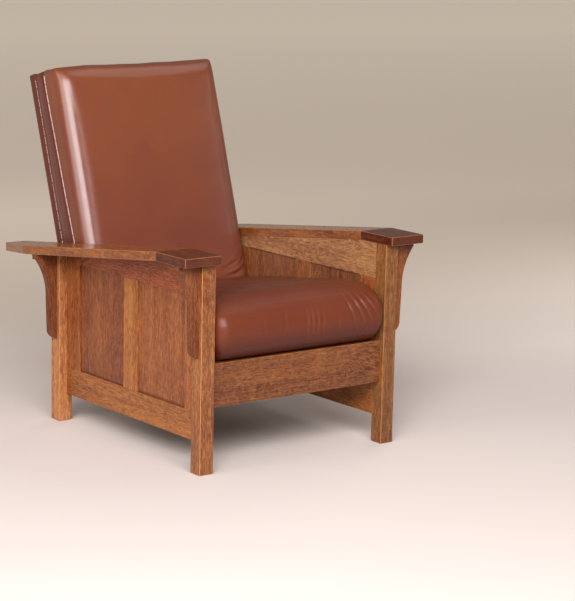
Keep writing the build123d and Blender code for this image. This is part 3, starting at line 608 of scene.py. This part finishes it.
def refined(blank, times):
    """The blank's mesh with its cells halved, and the small steps that they leave evened out."""
    halves = blank.modifiers.new("soft", "SUBSURF")
    halves.levels = 1
    halves.render_levels = 1
    apply_modifiers(blank)
    form = form_of(blank)
    for _ in range(times):
        bmesh.ops.smooth_vert(
            form, verts=form.verts, factor=0.5, use_axis_x=True, use_axis_y=True, use_axis_z=True)
    return form


def bell(distance, width):
    """One at no distance, falling smoothly to zero."""
    return math.exp(-(distance / width) ** 2)


def smooth_step(value, low, high):
    """Zero below a first value, rising smoothly to one at a second."""
    share = min(max((value - low) / (high - low), 0.0), 1.0)
    return share * share * (3 - 2 * share)


# Seat cushion
SEAT_LOW, SEAT_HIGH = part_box("seat_cushion")
SEAT_HALF = (SEAT_HIGH.x - SEAT_LOW.x) / 2
SEAT_FRONT = SEAT_LOW.y
SEAT_BOTTOM_FRONT = 0.3166
SEAT_CLEAR = 0.0028
SEAT_FALL = math.radians(5.5)
SEAT_FOOT = 0.060
# The front and top of its side outline: how far behind the front, and how high
SEAT_CURVE = [
    (0.038, 0.3240), (0.018, 0.3425), (0.005, 0.3690), (0.0, 0.3980), (0.005, 0.4250), (0.018, 0.4485),
    (0.038, 0.4660), (0.066, 0.4780), (0.105, 0.4830), (0.165, 0.478), (0.300, 0.460), (0.480, 0.436),
]
SEAT_REAR_TOP = Vector((SEAT_HIGH.y - 0.006, 0.402))
# How far its block stands inside its ends and how these are rounded, its crown, and how far its ends
# tuck in low down and high up
SEAT_SIDE = 0.004
SEAT_ROUND = 0.032
SEAT_CROWN = 0.011
TUCK_LOW = 0.006
TUCK_HIGH = 0.004
CREASE_SHARE = 0.90
# The strip above the underside that stays put, how far the cover may stand past the solid, and how
# many times its cells are evened out
SEAT_HELD = 0.012
SEAT_SPARE = 0.004
SEAT_SOFTENED = 6
# Slow unevenness of the leather on both cushions
RIPPLE = 0.0012


def seat_bottom(y):
    """Height of the cushion's underside, which lies on the sloping deck."""
    return SEAT_BOTTOM_FRONT - (y - SEAT_FRONT) * math.tan(SEAT_FALL) + SEAT_CLEAR


def seat_outline():
    """Side outline of the seat cushion, from the front foot round over the top to the rear."""
    foot = SEAT_FRONT + SEAT_FOOT
    top = SEAT_REAR_TOP
    rear = top.x - (top.y - seat_bottom(top.x)) * math.tan(BACK_LEAN)
    curve = [(SEAT_FRONT + behind, height) for behind, height in SEAT_CURVE]
    return [(foot, seat_bottom(foot))] + curve + [
        (top.x - 0.040, 0.414),
        (top.x - 0.008, 0.409),
        (top.x, top.y),
        (rear + 0.004, seat_bottom(rear) + 0.012),
        (rear - 0.008, seat_bottom(rear - 0.008)),
    ]


# Creases in the seat's front: middle across, lean, middle up, length and depth
SEAT_CREASES = [
    (0.004, 0.04, 0.405, 0.036, 0.0026),
    (0.022, -0.03, 0.400, 0.044, 0.0030),
    (0.041, 0.02, 0.402, 0.040, 0.0028),
    (0.060, 0.05, 0.398, 0.034, 0.0022),
    (-0.075, 0.10, 0.410, 0.034, 0.0016),
    (-0.150, -0.06, 0.402, 0.040, 0.0012),
    (0.118, -0.08, 0.385, 0.030, 0.0016),
    (0.165, -0.30, 0.428, 0.046, 0.0034),
    (0.192, -0.42, 0.434, 0.050, 0.0040),
    (0.214, -0.50, 0.440, 0.052, 0.0040),
    (0.236, -0.60, 0.446, 0.044, 0.0034),
    (0.258, -0.75, 0.450, 0.036, 0.0024),
    (0.185, 0.06, 0.352, 0.026, 0.0020),
    (0.208, 0.02, 0.350, 0.026, 0.0020),
    (0.232, -0.05, 0.352, 0.024, 0.0016),
]


# One fold: the width of its hollow, and the share, place and width of the ridge beside it
FOLD_WIDTH = 0.0048
RIDGE_SHARE = 0.45
RIDGE_ASIDE = 0.009
RIDGE_WIDTH = 0.006


def fold(aside, along, reach, depth):
    """Hollow with a small ridge beside it, at a place beside and along a crease."""
    ridge = RIDGE_SHARE * bell(aside - RIDGE_ASIDE, RIDGE_WIDTH)
    return depth * (bell(aside, FOLD_WIDTH) - ridge) * bell(along, reach)


def crease_depth(x, z):
    """How far the creases press in at a place on the seat's front."""
    total = 0.0
    for middle_x, lean, middle_z, reach, depth in SEAT_CREASES:
        total += fold(x - middle_x - lean * (z - middle_z), z - middle_z, reach, depth)
    return total


# Folds in the pillow's lower right corner: middle across and up, angle in degrees, length and depth
CORNER_FOLDS = [
    (0.262, 0.050, 30, 0.030, 0.0034),
    (0.240, 0.038, 14, 0.036, 0.0030),
    (0.272, 0.080, 50, 0.026, 0.0026),
    (0.222, 0.066, 22, 0.028, 0.0014),
]


def corner_depth(x, z):
    """How far the folds press in at a place on the pillow's front."""
    total = 0.0
    for middle_x, middle_z, angle, reach, depth in CORNER_FOLDS:
        turn = Vector((math.cos(math.radians(angle)), math.sin(math.radians(angle))))
        aside = Vector((x - middle_x, z - middle_z))
        total += fold(turn.cross(aside), turn.dot(aside), reach, depth)
    return total


class ARMCHAIR_OT_seat_cushion(bpy.types.Operator):
    """Make the loose seat cushion"""

    bl_idname = "armchair.seat_cushion"
    bl_label = "Seat cushion"

    def execute(self, context):
        sizes = context.scene.armchair_upholstery
        block = profile_block(seat_outline(), SEAT_HALF - SEAT_SIDE, SEAT_ROUND, 6)

        def pinned(place):
            return place.z < seat_bottom(place.y) + SEAT_HELD

        form = refined(remesh_and_fill(block, sizes.voxel, sizes.seat_swell, pinned), SEAT_SOFTENED)
        for vertex in form.verts:
            place = vertex.co
            above = place.z - seat_bottom(place.y)
            crown = SEAT_CROWN * math.cos(min(abs(place.x) / SEAT_HALF, 1.0) * math.pi / 2)
            lift = smooth_step(above, 0.09, 0.15)
            place.z += crown * lift * smooth_step(place.y, SEAT_FRONT, SEAT_FRONT + 0.10)
            side = smooth_step(abs(place.x), SEAT_HALF - 0.03, SEAT_HALF - SEAT_SIDE)
            tuck = TUCK_LOW * bell(above - 0.02, 0.02) + TUCK_HIGH * bell(above - 0.16, 0.02)
            place.x -= math.copysign(side * tuck, place.x)
            facing = smooth_step(SEAT_FRONT + 0.06 - place.y, 0.0, 0.05)
            place.y += CREASE_SHARE * facing * crease_depth(place.x, place.z)
            ripple = RIPPLE * noise.noise(place * 9) * smooth_step(above, 0.02, 0.06)
            place += vertex.normal * ripple
        limit_to_box(form, SEAT_LOW, SEAT_HIGH, SEAT_SPARE)
        # Painted shade: the lower front darkens where the roll turns under
        shade = ((0, 0, 1), 0.325, 0.400, 0.78, context.scene.armchair_finishes.leather_dark_and_shade)
        material = leather(
            "seat_leather_hide", 3.0, 0.20, tone=0.83, gloss=0.37, shine=0.15, warm=0.35, dark=shade)
        cushion = new_piece("seat_leather_cover", form, material, "seat_cushion")
        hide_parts("seat_cushion")
        return {"FINISHED"}


def limit_to_box(form, low, high, spare):
    """Keep every point within a box, with some spare room at its front and top."""
    for vertex in form.verts:
        vertex.co.x = min(max(vertex.co.x, low.x), high.x)
        vertex.co.y = min(max(vertex.co.y, low.y - spare), high.y)
        vertex.co.z = max(min(vertex.co.z, high.z + spare), low.z)


# Back cushion, in the back's own axes until it is placed
BACK_HALF = 0.297
BACK_TOP = 0.732
BACK_FOOT = -0.022
BACK_TALL = BACK_TOP - BACK_FOOT
BACK_MIDDLE = (BACK_TOP + BACK_FOOT) / 2
BACK_REAR = 0.018
BAND_REAR = 0.0125
FRONT_EDGE = -0.145
# The block that the cushion is made from stands this far inside its sides and its ends
BLOCK_SIDE = 0.002
BLOCK_END = 0.001
# The pillow's rounding, how many times its cells are evened out, its crown, how much fuller it is at
# its top than at its foot, how far its foot is drawn in, and how far its top edge rolls back
FRONT_ROUND = 0.034
BACK_SOFTENED = 18
BACK_CROWN = 0.011
FULLER = 0.010
FOOT_DRAWN = 0.006
TOP_ROLL = 0.005
# Its top edge: how far the right corner stands up, how far the left one droops, and its unevenness
CORNER_EAR = 0.0055
CORNER_DROOP = 0.004
TOP_RIPPLE = 0.0022
# How far it may stand past the block at its front and top
FRONT_SPARE = 0.020
TOP_SPARE = 0.011
# The seam beside the strip is upright. The one between boxing and pillow comes forward towards its
# foot, and the hollow that it draws lies a little behind it.
STRIP_SEAM = -0.0103
BOX_SEAM_TOP = -0.064
BOX_SEAM_FALL = -0.0273
GROOVE_BEHIND = 0.0055
# The rim against the strip stays square
CUSHION_REAR = STRIP_SEAM - 0.0003
RIM_DEEP = 0.012
RIM_WIDE = 0.014
RIM_GAP = 0.0005


def box_seam(up):
    """Where the seam between the boxing and the pillow lies through the back's thickness."""
    return BOX_SEAM_TOP + BOX_SEAM_FALL * (BACK_TOP - up)


def square_rim(place):
    """Bring a place near the cushion's rear rim out to the strip's edge."""
    firm = smooth_step(place.y, CUSHION_REAR - RIM_DEEP, CUSHION_REAR - 0.004)
    rim_x = firm * smooth_step(abs(place.x), BACK_HALF - RIM_WIDE, BACK_HALF - 0.005)
    place.x += (math.copysign(BACK_HALF - RIM_GAP, place.x) - place.x) * rim_x
    rim_z = firm * smooth_step(place.z, BACK_TOP - RIM_WIDE, BACK_TOP - 0.005)
    place.z += (BACK_TOP - RIM_GAP - place.z) * rim_z
    if max(rim_x, rim_z) > 0.5:
        last = smooth_step(place.y, CUSHION_REAR - 0.006, CUSHION_REAR - 0.002)
        place.y += (CUSHION_REAR - place.y) * last


def corner_lift(x):
    """How much the pillow's top edge stands up: its right corner pokes out and its left one droops."""
    ear = CORNER_EAR * smooth_step(x, 0.12, 0.28)
    droop = CORNER_DROOP * smooth_step(-x, 0.16, 0.29)
    return ear - droop + TOP_RIPPLE * noise.noise(Vector((x * 11, 0.4, 2.0)))


class ARMCHAIR_OT_back_cushion(bpy.types.Operator):
    """Make the boxed and stitched back cushion"""

    bl_idname = "armchair.back_cushion"
    bl_label = "Back cushion"

    def execute(self, context):
        sizes = context.scene.armchair_upholstery
        # The block's front is even: a leaning one would cross the cells and leave stripes
        block = slab(
            (2 * BACK_HALF - 2 * BLOCK_SIDE, CUSHION_REAR - FRONT_EDGE, BACK_TALL - 2 * BLOCK_END),
            (0, (CUSHION_REAR + FRONT_EDGE) / 2, BACK_MIDDLE))
        front_edges = [e for e in block.edges if all(v.co.y < FRONT_EDGE / 2 for v in e.verts)]
        ease(block, front_edges, FRONT_ROUND, 18)
        corner_edges = [
            e for e in block.edges
            if all(abs(abs(v.co.x) - (BACK_HALF - BLOCK_SIDE)) < MM for v in e.verts)
            and all(v.co.y > FRONT_EDGE * 0.78 for v in e.verts)
            and abs(e.verts[0].co.y - e.verts[1].co.y) > 0.02
        ]
        ease(block, corner_edges, 0.003, 3)

        def pinned(place):
            return place.y > CUSHION_REAR - RIM_DEEP

        form = refined(remesh_and_fill(block, sizes.voxel, sizes.back_swell, pinned), BACK_SOFTENED)
        for vertex in form.verts:
            place = vertex.co
            across = min(abs(place.x) / BACK_HALF, 1.0)
            upward = min(abs(place.z - BACK_MIDDLE) / (BACK_TALL / 2), 1.0)
            forward = smooth_step(FRONT_EDGE + 0.04 - place.y, 0.0, 0.04)
            crown = BACK_CROWN * (1 - across ** 4) * (1 - upward ** 5)
            fuller = FULLER * (place.z - BACK_FOOT) / BACK_TALL - FOOT_DRAWN
            place.y -= forward * (crown + fuller - corner_depth(place.x, place.z))
            place.y += TOP_ROLL * forward * smooth_step(place.z, BACK_TOP - 0.060, BACK_TOP - 0.004)
            high_up = smooth_step(place.z, BACK_TOP - 0.10, BACK_TOP) * smooth_step(-place.y, 0.066, 0.10)
            place.z += high_up * corner_lift(place.x)
            groove = box_seam(place.z) + GROOVE_BEHIND
            place -= vertex.normal * sizes.seam_depth * bell(place.y - groove, sizes.seam_width)
            ripple = RIPPLE * noise.noise(place * 7) * smooth_step(CUSHION_REAR - place.y, 0.0, 0.03)
            place += vertex.normal * ripple
            square_rim(place)
        low = Vector((-BACK_HALF, FRONT_EDGE - FRONT_SPARE, BACK_FOOT))
        high = Vector((BACK_HALF, CUSHION_REAR, BACK_TOP + TOP_SPARE))
        limit_to_box(form, low, high, 0.0)
        bmesh.ops.transform(form, matrix=BACK_PLACE, verts=form.verts)
        behind = BACK_PLACE.to_3x3() @ Vector((0, -1, -BOX_SEAM_FALL))
        groove = PIVOT.dot(behind) - box_seam(0) - GROOVE_BEHIND
        # Behind the boxing seam the leather takes the boxing's colour; the dark line along the seam's
        # hollow is painted shade
        boxing = context.scene.armchair_finishes.leather_boxing
        material = leather(
            "back_leather_hide", 7.0, 0.85, dark=(behind, groove - MM, groove + MM, 0.92, boxing),
            seam=(behind, groove, 0.0022, 0.9))
        cushion = new_piece("back_leather_cover", form, material, "back")
        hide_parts("back_cushion")
        return {"FINISHED"}


# Strip round the frame's edge and the panel behind it: the rounding of the panel's edge, the inset and
# cuts of its broad face, its flat border, how far the leather inside is drawn in, and over what width
PANEL_ROUND = 0.004
PANEL_INSET = 0.020
PANEL_CUTS = 18
PANEL_BORDER = 0.026
PANEL_DRAWN = 0.0016
PANEL_BLEND = 0.10


class ARMCHAIR_OT_back_shell(bpy.types.Operator):
    """Make the leather strip and the outside back"""

    bl_idname = "armchair.back_shell"
    bl_label = "Outside back"

    def execute(self, context):
        hide = leather("band_leather_hide", 11.0, 0.25, tone=0.70, shine=0.25, maroon=0.55)
        paint(both_sides("back_band") + ["back_band_top"], hide)
        form = slab(
            (2 * BACK_HALF, BACK_REAR - BAND_REAR, BACK_TALL),
            (0, (BACK_REAR + BAND_REAR) / 2, BACK_MIDDLE))
        rear_edges = [e for e in form.edges if all(v.co.y > BACK_REAR - MM for v in e.verts)]
        ease(form, rear_edges, PANEL_ROUND, 4)
        broad = max(form.faces, key=lambda face: face.calc_area() * (face.normal.y > 0.9))
        bmesh.ops.inset_region(form, faces=[broad], thickness=PANEL_INSET)
        bmesh.ops.subdivide_edges(form, edges=broad.edges, cuts=PANEL_CUTS, use_grid_fill=True)
        for vertex in form.verts:
            place = vertex.co
            from_side = BACK_HALF - PANEL_BORDER - abs(place.x)
            from_end = BACK_TALL / 2 - PANEL_BORDER - abs(place.z - BACK_MIDDLE)
            if place.y > BACK_REAR - MM:
                drawn = PANEL_DRAWN + 0.0008 * noise.noise(Vector((place.x * 6, 0.0, place.z * 6)))
                inner = smooth_step(from_side, 0.0, PANEL_BLEND) * smooth_step(from_end, 0.0, PANEL_BLEND)
                place.y -= drawn * inner
        bmesh.ops.transform(form, matrix=BACK_PLACE, verts=form.verts)
        outside = leather("outside_back_hide", 17.0, 0.35, tone=0.82, gloss=0.32)
        panel = new_piece("outside_back_leather", form, outside, "back")
        for polygon in panel.data.polygons:
            polygon.use_smooth = polygon.area < 0.01
        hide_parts("outside_back_panel")
        return {"FINISHED"}


# Topstitching: how far the strip's stitches lie from its seam, the longer, closer and thicker
# stitches of the boxing's seam, and how far the border's stitches lie from the panel's edge
STITCH_ASIDE = 0.0040
BOX_STITCH = 0.0062
BOX_STITCH_GAP = 0.0003
BOX_THREAD_WIDTH = 0.0030
BORDER_ASIDE = 0.014
# Each line of stitches is dropped onto the leather from this far off it, in this many steps. It ends
# this far above the cushion's foot and from its top corners.
DROP = 0.05
LINE_STEPS = 24
FOOT_END = 0.03
CORNER_END = 0.015


def even_steps(start, end):
    """Values from a start to an end, one for each point of a line of stitches."""
    return [start + (end - start) * index / LINE_STEPS for index in range(LINE_STEPS + 1)]


def surface_point(target, start, direction):
    """Nearest point of a piece from a start along a direction, in the piece's own place."""
    hit, place, normal, _ = target.ray_cast(start, direction)
    return (place, normal) if hit else (None, None)


def add_stitch(form, start, end, normal, width):
    """One stitch: a thin rounded bar laid on the leather."""
    middle = (start + end) / 2
    along = end - start
    across = along.cross(normal).normalized()
    up = across.cross(along).normalized()
    turn = Matrix((
        (across.x, along.normalized().x, up.x),
        (across.y, along.normalized().y, up.y),
        (across.z, along.normalized().z, up.z),
    )).to_4x4()
    bmesh.ops.create_icosphere(
        form, subdivisions=1, radius=1,
        matrix=Matrix.Translation(middle + up * width * 0.25) @ turn @ Matrix.Diagonal(
            (width / 2, along.length / 2, width / 2, 1)))


def stitch_run(form, target, points, towards, stitch, gap, width):
    """Stitches along a line of start points, each dropped onto the leather."""
    pitch = stitch + gap
    carried = 0.0
    for first, second in zip(points, points[1:]):
        length = (second - first).length
        direction = (second - first).normalized()
        while carried + stitch < length:
            a, normal_a = surface_point(target, first + direction * carried, towards)
            b, normal_b = surface_point(target, first + direction * (carried + stitch), towards)
            if a is not None and b is not None and (b - a).length < 2 * stitch:
                add_stitch(form, a, b, (normal_a + normal_b).normalized(), width)
            carried += pitch
        carried = max(carried - length, 0.0)


class ARMCHAIR_OT_stitching(bpy.types.Operator):
    """Sew the pale topstitching along the back's seams"""

    bl_idname = "armchair.stitching"
    bl_label = "Topstitching"

    def execute(self, context):
        sizes = context.scene.armchair_upholstery
        cover = bpy.data.objects["back_leather_cover"]
        form = bmesh.new()
        plain = (sizes.stitch, sizes.stitch_gap, sizes.thread_width)
        close = (BOX_STITCH, BOX_STITCH_GAP, BOX_THREAD_WIDTH)
        turn = BACK_PLACE.to_3x3()
        for seam_of, stitches in ((lambda up: STRIP_SEAM - STITCH_ASIDE, plain), (box_seam, close)):
            for side in (-1, 1):
                ups = even_steps(BACK_FOOT + FOOT_END, BACK_TOP - CORNER_END)
                points = [BACK_PLACE @ Vector((side * (BACK_HALF + DROP), seam_of(up), up)) for up in ups]
                stitch_run(form, cover, points, Vector((-side, 0, 0)), *stitches)
            down = (turn @ Vector((0, 0, -1))).normalized()
            acrosses = even_steps(-BACK_HALF + CORNER_END, BACK_HALF - CORNER_END)
            points = [BACK_PLACE @ Vector((x, seam_of(BACK_TOP), BACK_TOP + DROP)) for x in acrosses]
            stitch_run(form, cover, points, down, *stitches)
        panel = bpy.data.objects["outside_back_leather"]
        forward = (turn @ Vector((0, -1, 0))).normalized()
        side, foot, top = BACK_HALF - BORDER_ASIDE, BACK_FOOT + BORDER_ASIDE, BACK_TOP - BORDER_ASIDE
        corners = [(-side, foot), (-side, top), (side, top), (side, foot), (-side, foot)]
        border = [BACK_PLACE @ Vector((x, BACK_REAR + DROP, z)) for x, z in corners]
        stitch_run(form, panel, border, forward, *plain)
        new_piece("back_topstitching", form, thread_material(), "back")
        return {"FINISHED"}


# Stage
FLOOR_RADIUS = 60
SENSOR_WIDTH = 36
# Each lamp box: its name, place, width, height, power, colour and aim
LAMP_BOXES = [
    ("main_box", (-2.00, -3.42, 2.77), 4.0, 2.0, 258, (1.0, 0.95, 0.97), (0, 0.2, 0.7)),
    ("left_box", (-4.15, -1.0, 2.2), 2.7, 1.8, 71, (1.0, 0.96, 0.95), (0, 0, 0.4)),
    ("top_box", (1.9, -0.3, 3.9), 1.8, 1.8, 10, (1.0, 0.94, 0.95), (0, 0.3, 0.9)),
    ("right_box", (4.0, -2.4, 2.2), 1.6, 1.8, 6, (1.0, 0.95, 0.90), (0, 0, 0.4)),
    ("rear_box", (1.2, 4.6, 2.4), 2.4, 1.8, 14, (1.0, 0.96, 0.92), (0, 0.3, 0.6)),
]


def add_floor(finishes):
    """Wide round floor with a painted glow, seen by camera and reflected rays, that makes it a little
    brighter to the right of the chair and behind it.
    """
    form = bmesh.new()
    bmesh.ops.create_circle(form, cap_ends=True, segments=96, radius=FLOOR_RADIUS)
    mesh = bpy.data.meshes.new("studio_floor")
    form.to_mesh(mesh)
    form.free()
    floor = bpy.data.objects.new("studio_floor", mesh)
    bpy.context.scene.collection.objects.link(floor)
    shader = Shader("studio_floor_paper")
    away = shader.along((0.2, 0.98, 0.0))
    aside = shader.along((0.79, -0.61, 0.0))
    near = shader.mix(shader.ramp(away, -0.1, 2.6), finishes.floor, finishes.backdrop_low)
    paper = shader.mix(shader.ramp(away, 3.8, 16.0), near, finishes.backdrop)
    rays = shader.node("ShaderNodeLightPath").outputs
    seen = shader.maths("MAXIMUM", rays["Is Camera Ray"], rays["Is Glossy Ray"])
    # Painted light: the floor glows to the right of the chair and behind it
    right = shader.maths(
        "MULTIPLY", shader.ramp(aside, 0.3, 1.5, 0.0, 0.30), shader.ramp(away, -0.2, 0.6))
    beside = shader.maths("MULTIPLY", right, shader.ramp(away, 1.5, 3.2, 1.0, 0.0))
    beyond = shader.ramp(away, 0.5, 4.2, 0.0, 0.26)
    glow = shader.maths("MULTIPLY", seen, shader.maths("ADD", beside, beyond))
    mesh.materials.append(shader.finish(
        Base_Color=paper, Roughness=0.9, Specular_IOR_Level=0.1,
        Emission_Color=paper, Emission_Strength=glow))


def add_camera(stage):
    """Camera at its place, with its heading, tilt and roll."""
    data = bpy.data.cameras.new("camera")
    data.lens = stage.lens
    data.sensor_width = SENSOR_WIDTH
    camera = bpy.data.objects.new("camera", data)
    bpy.context.scene.collection.objects.link(camera)
    look = Vector((
        math.sin(stage.yaw) * math.cos(stage.pitch),
        math.cos(stage.yaw) * math.cos(stage.pitch),
        -math.sin(stage.pitch)))
    level = Vector((math.cos(stage.yaw), -math.sin(stage.yaw), 0))
    upright = level.cross(look)
    right = math.cos(stage.roll) * level + math.sin(stage.roll) * upright
    up = -math.sin(stage.roll) * level + math.cos(stage.roll) * upright
    turn = Matrix((right, up, -look)).transposed().to_4x4()
    camera.matrix_world = Matrix.Translation(Vector(stage.place)) @ turn
    bpy.context.scene.camera = camera


def add_lamp(name, data, place, aim, glossy):
    """Lamp at a place, turned to a point, shown in reflections or not."""
    lamp = bpy.data.objects.new(name, data)
    lamp.location = place
    lamp.rotation_mode = "QUATERNION"
    lamp.rotation_quaternion = (Vector(aim) - Vector(place)).to_track_quat("-Z", "Y")
    lamp.visible_glossy = glossy
    bpy.context.scene.collection.objects.link(lamp)


def add_air(stage):
    """Soft light from all round, warmer and brighter from low down."""
    world = bpy.data.worlds.new("studio_air")
    bpy.context.scene.world = world
    world.use_nodes = True
    tree = world.node_tree
    heading = tree.nodes.new("ShaderNodeTexCoord").outputs["Generated"]
    parts = tree.nodes.new("ShaderNodeSeparateXYZ")
    tree.links.new(heading, parts.inputs["Vector"])
    share = tree.nodes.new("ShaderNodeMapRange")
    tree.links.new(parts.outputs["Z"], share.inputs["Value"])
    share.inputs["From Min"].default_value = 0.03
    share.inputs["From Max"].default_value = 0.30
    air = tree.nodes.new("ShaderNodeMix")
    air.data_type = "RGBA"
    tree.links.new(share.outputs["Result"], air.inputs["Factor"])
    air.inputs["A"].default_value = (0.52, 0.44, 0.36, 1)
    air.inputs["B"].default_value = (0.26, 0.25, 0.24, 1)
    background = tree.nodes["Background"]
    tree.links.new(air.outputs["Result"], background.inputs["Color"])
    background.inputs["Strength"].default_value = stage.air


class ARMCHAIR_OT_stage(bpy.types.Operator):
    """Set the floor, the lamps and the camera"""

    bl_idname = "armchair.stage"
    bl_label = "Stage"

    def execute(self, context):
        stage = context.scene.armchair_stage
        context.scene.view_settings.view_transform = "Standard"
        add_floor(context.scene.armchair_finishes)
        add_camera(stage)
        for name, energy, spread, colour, place in [
            ("key", stage.key, 22, (1.0, 0.97, 0.94), (-3.0, -3.0, 2.7)),
            ("fill", stage.fill, 30, (1.0, 0.93, 0.86), (4.0, 2.2, 1.3)),
        ]:
            sun = bpy.data.lights.new(name, "SUN")
            sun.energy = energy
            sun.angle = math.radians(spread)
            sun.color = colour
            add_lamp(name, sun, place, (0, 0, 0), glossy=False)
        for name, place, width, height, power, colour, aim in LAMP_BOXES:
            box = bpy.data.lights.new(name, "AREA")
            box.shape = "RECTANGLE"
            box.size = width
            box.size_y = height
            box.energy = power
            box.color = colour
            add_lamp(name, box, place, aim, glossy=name != "rear_box")
        add_air(stage)
        return {"FINISHED"}


class ARMCHAIR_PT_panel(bpy.types.Panel):
    """Sidebar panel that lists the steps."""

    bl_idname = "ARMCHAIR_PT_panel"
    bl_label = "Mission reclining armchair"
    bl_space_type = "VIEW_3D"
    bl_region_type = "UI"
    bl_category = "Armchair"

    def draw(self, context):
        for step in STEPS:
            self.layout.operator(step.bl_idname)
        for group in ("armchair_finishes", "armchair_upholstery", "armchair_stage"):
            box = self.layout.box()
            settings = getattr(context.scene, group)
            for key in settings.__annotations__:
                box.prop(settings, key)


STEPS = [
    ARMCHAIR_OT_stage,
    ARMCHAIR_OT_oak,
    ARMCHAIR_OT_inner_frame,
    ARMCHAIR_OT_seat_cushion,
    ARMCHAIR_OT_back_cushion,
    ARMCHAIR_OT_back_shell,
    ARMCHAIR_OT_stitching,
]
GROUPS = {
    "armchair_finishes": ARMCHAIR_PG_finishes,
    "armchair_upholstery": ARMCHAIR_PG_upholstery,
    "armchair_stage": ARMCHAIR_PG_stage,
}


def register():
    for name, group in GROUPS.items():
        bpy.utils.register_class(group)
        setattr(bpy.types.Scene, name, PointerProperty(type=group))
    for step in STEPS:
        bpy.utils.register_class(step)
    bpy.utils.register_class(ARMCHAIR_PT_panel)


def unregister():
    bpy.utils.unregister_class(ARMCHAIR_PT_panel)
    for step in reversed(STEPS):
        bpy.utils.unregister_class(step)
    for name, group in GROUPS.items():
        delattr(bpy.types.Scene, name)
        bpy.utils.unregister_class(group)


def main():
    register()
    for step in STEPS:
        group, operator = step.bl_idname.split(".")
        getattr(getattr(bpy.ops, group), operator)()


if __name__ == "__main__":
    main()
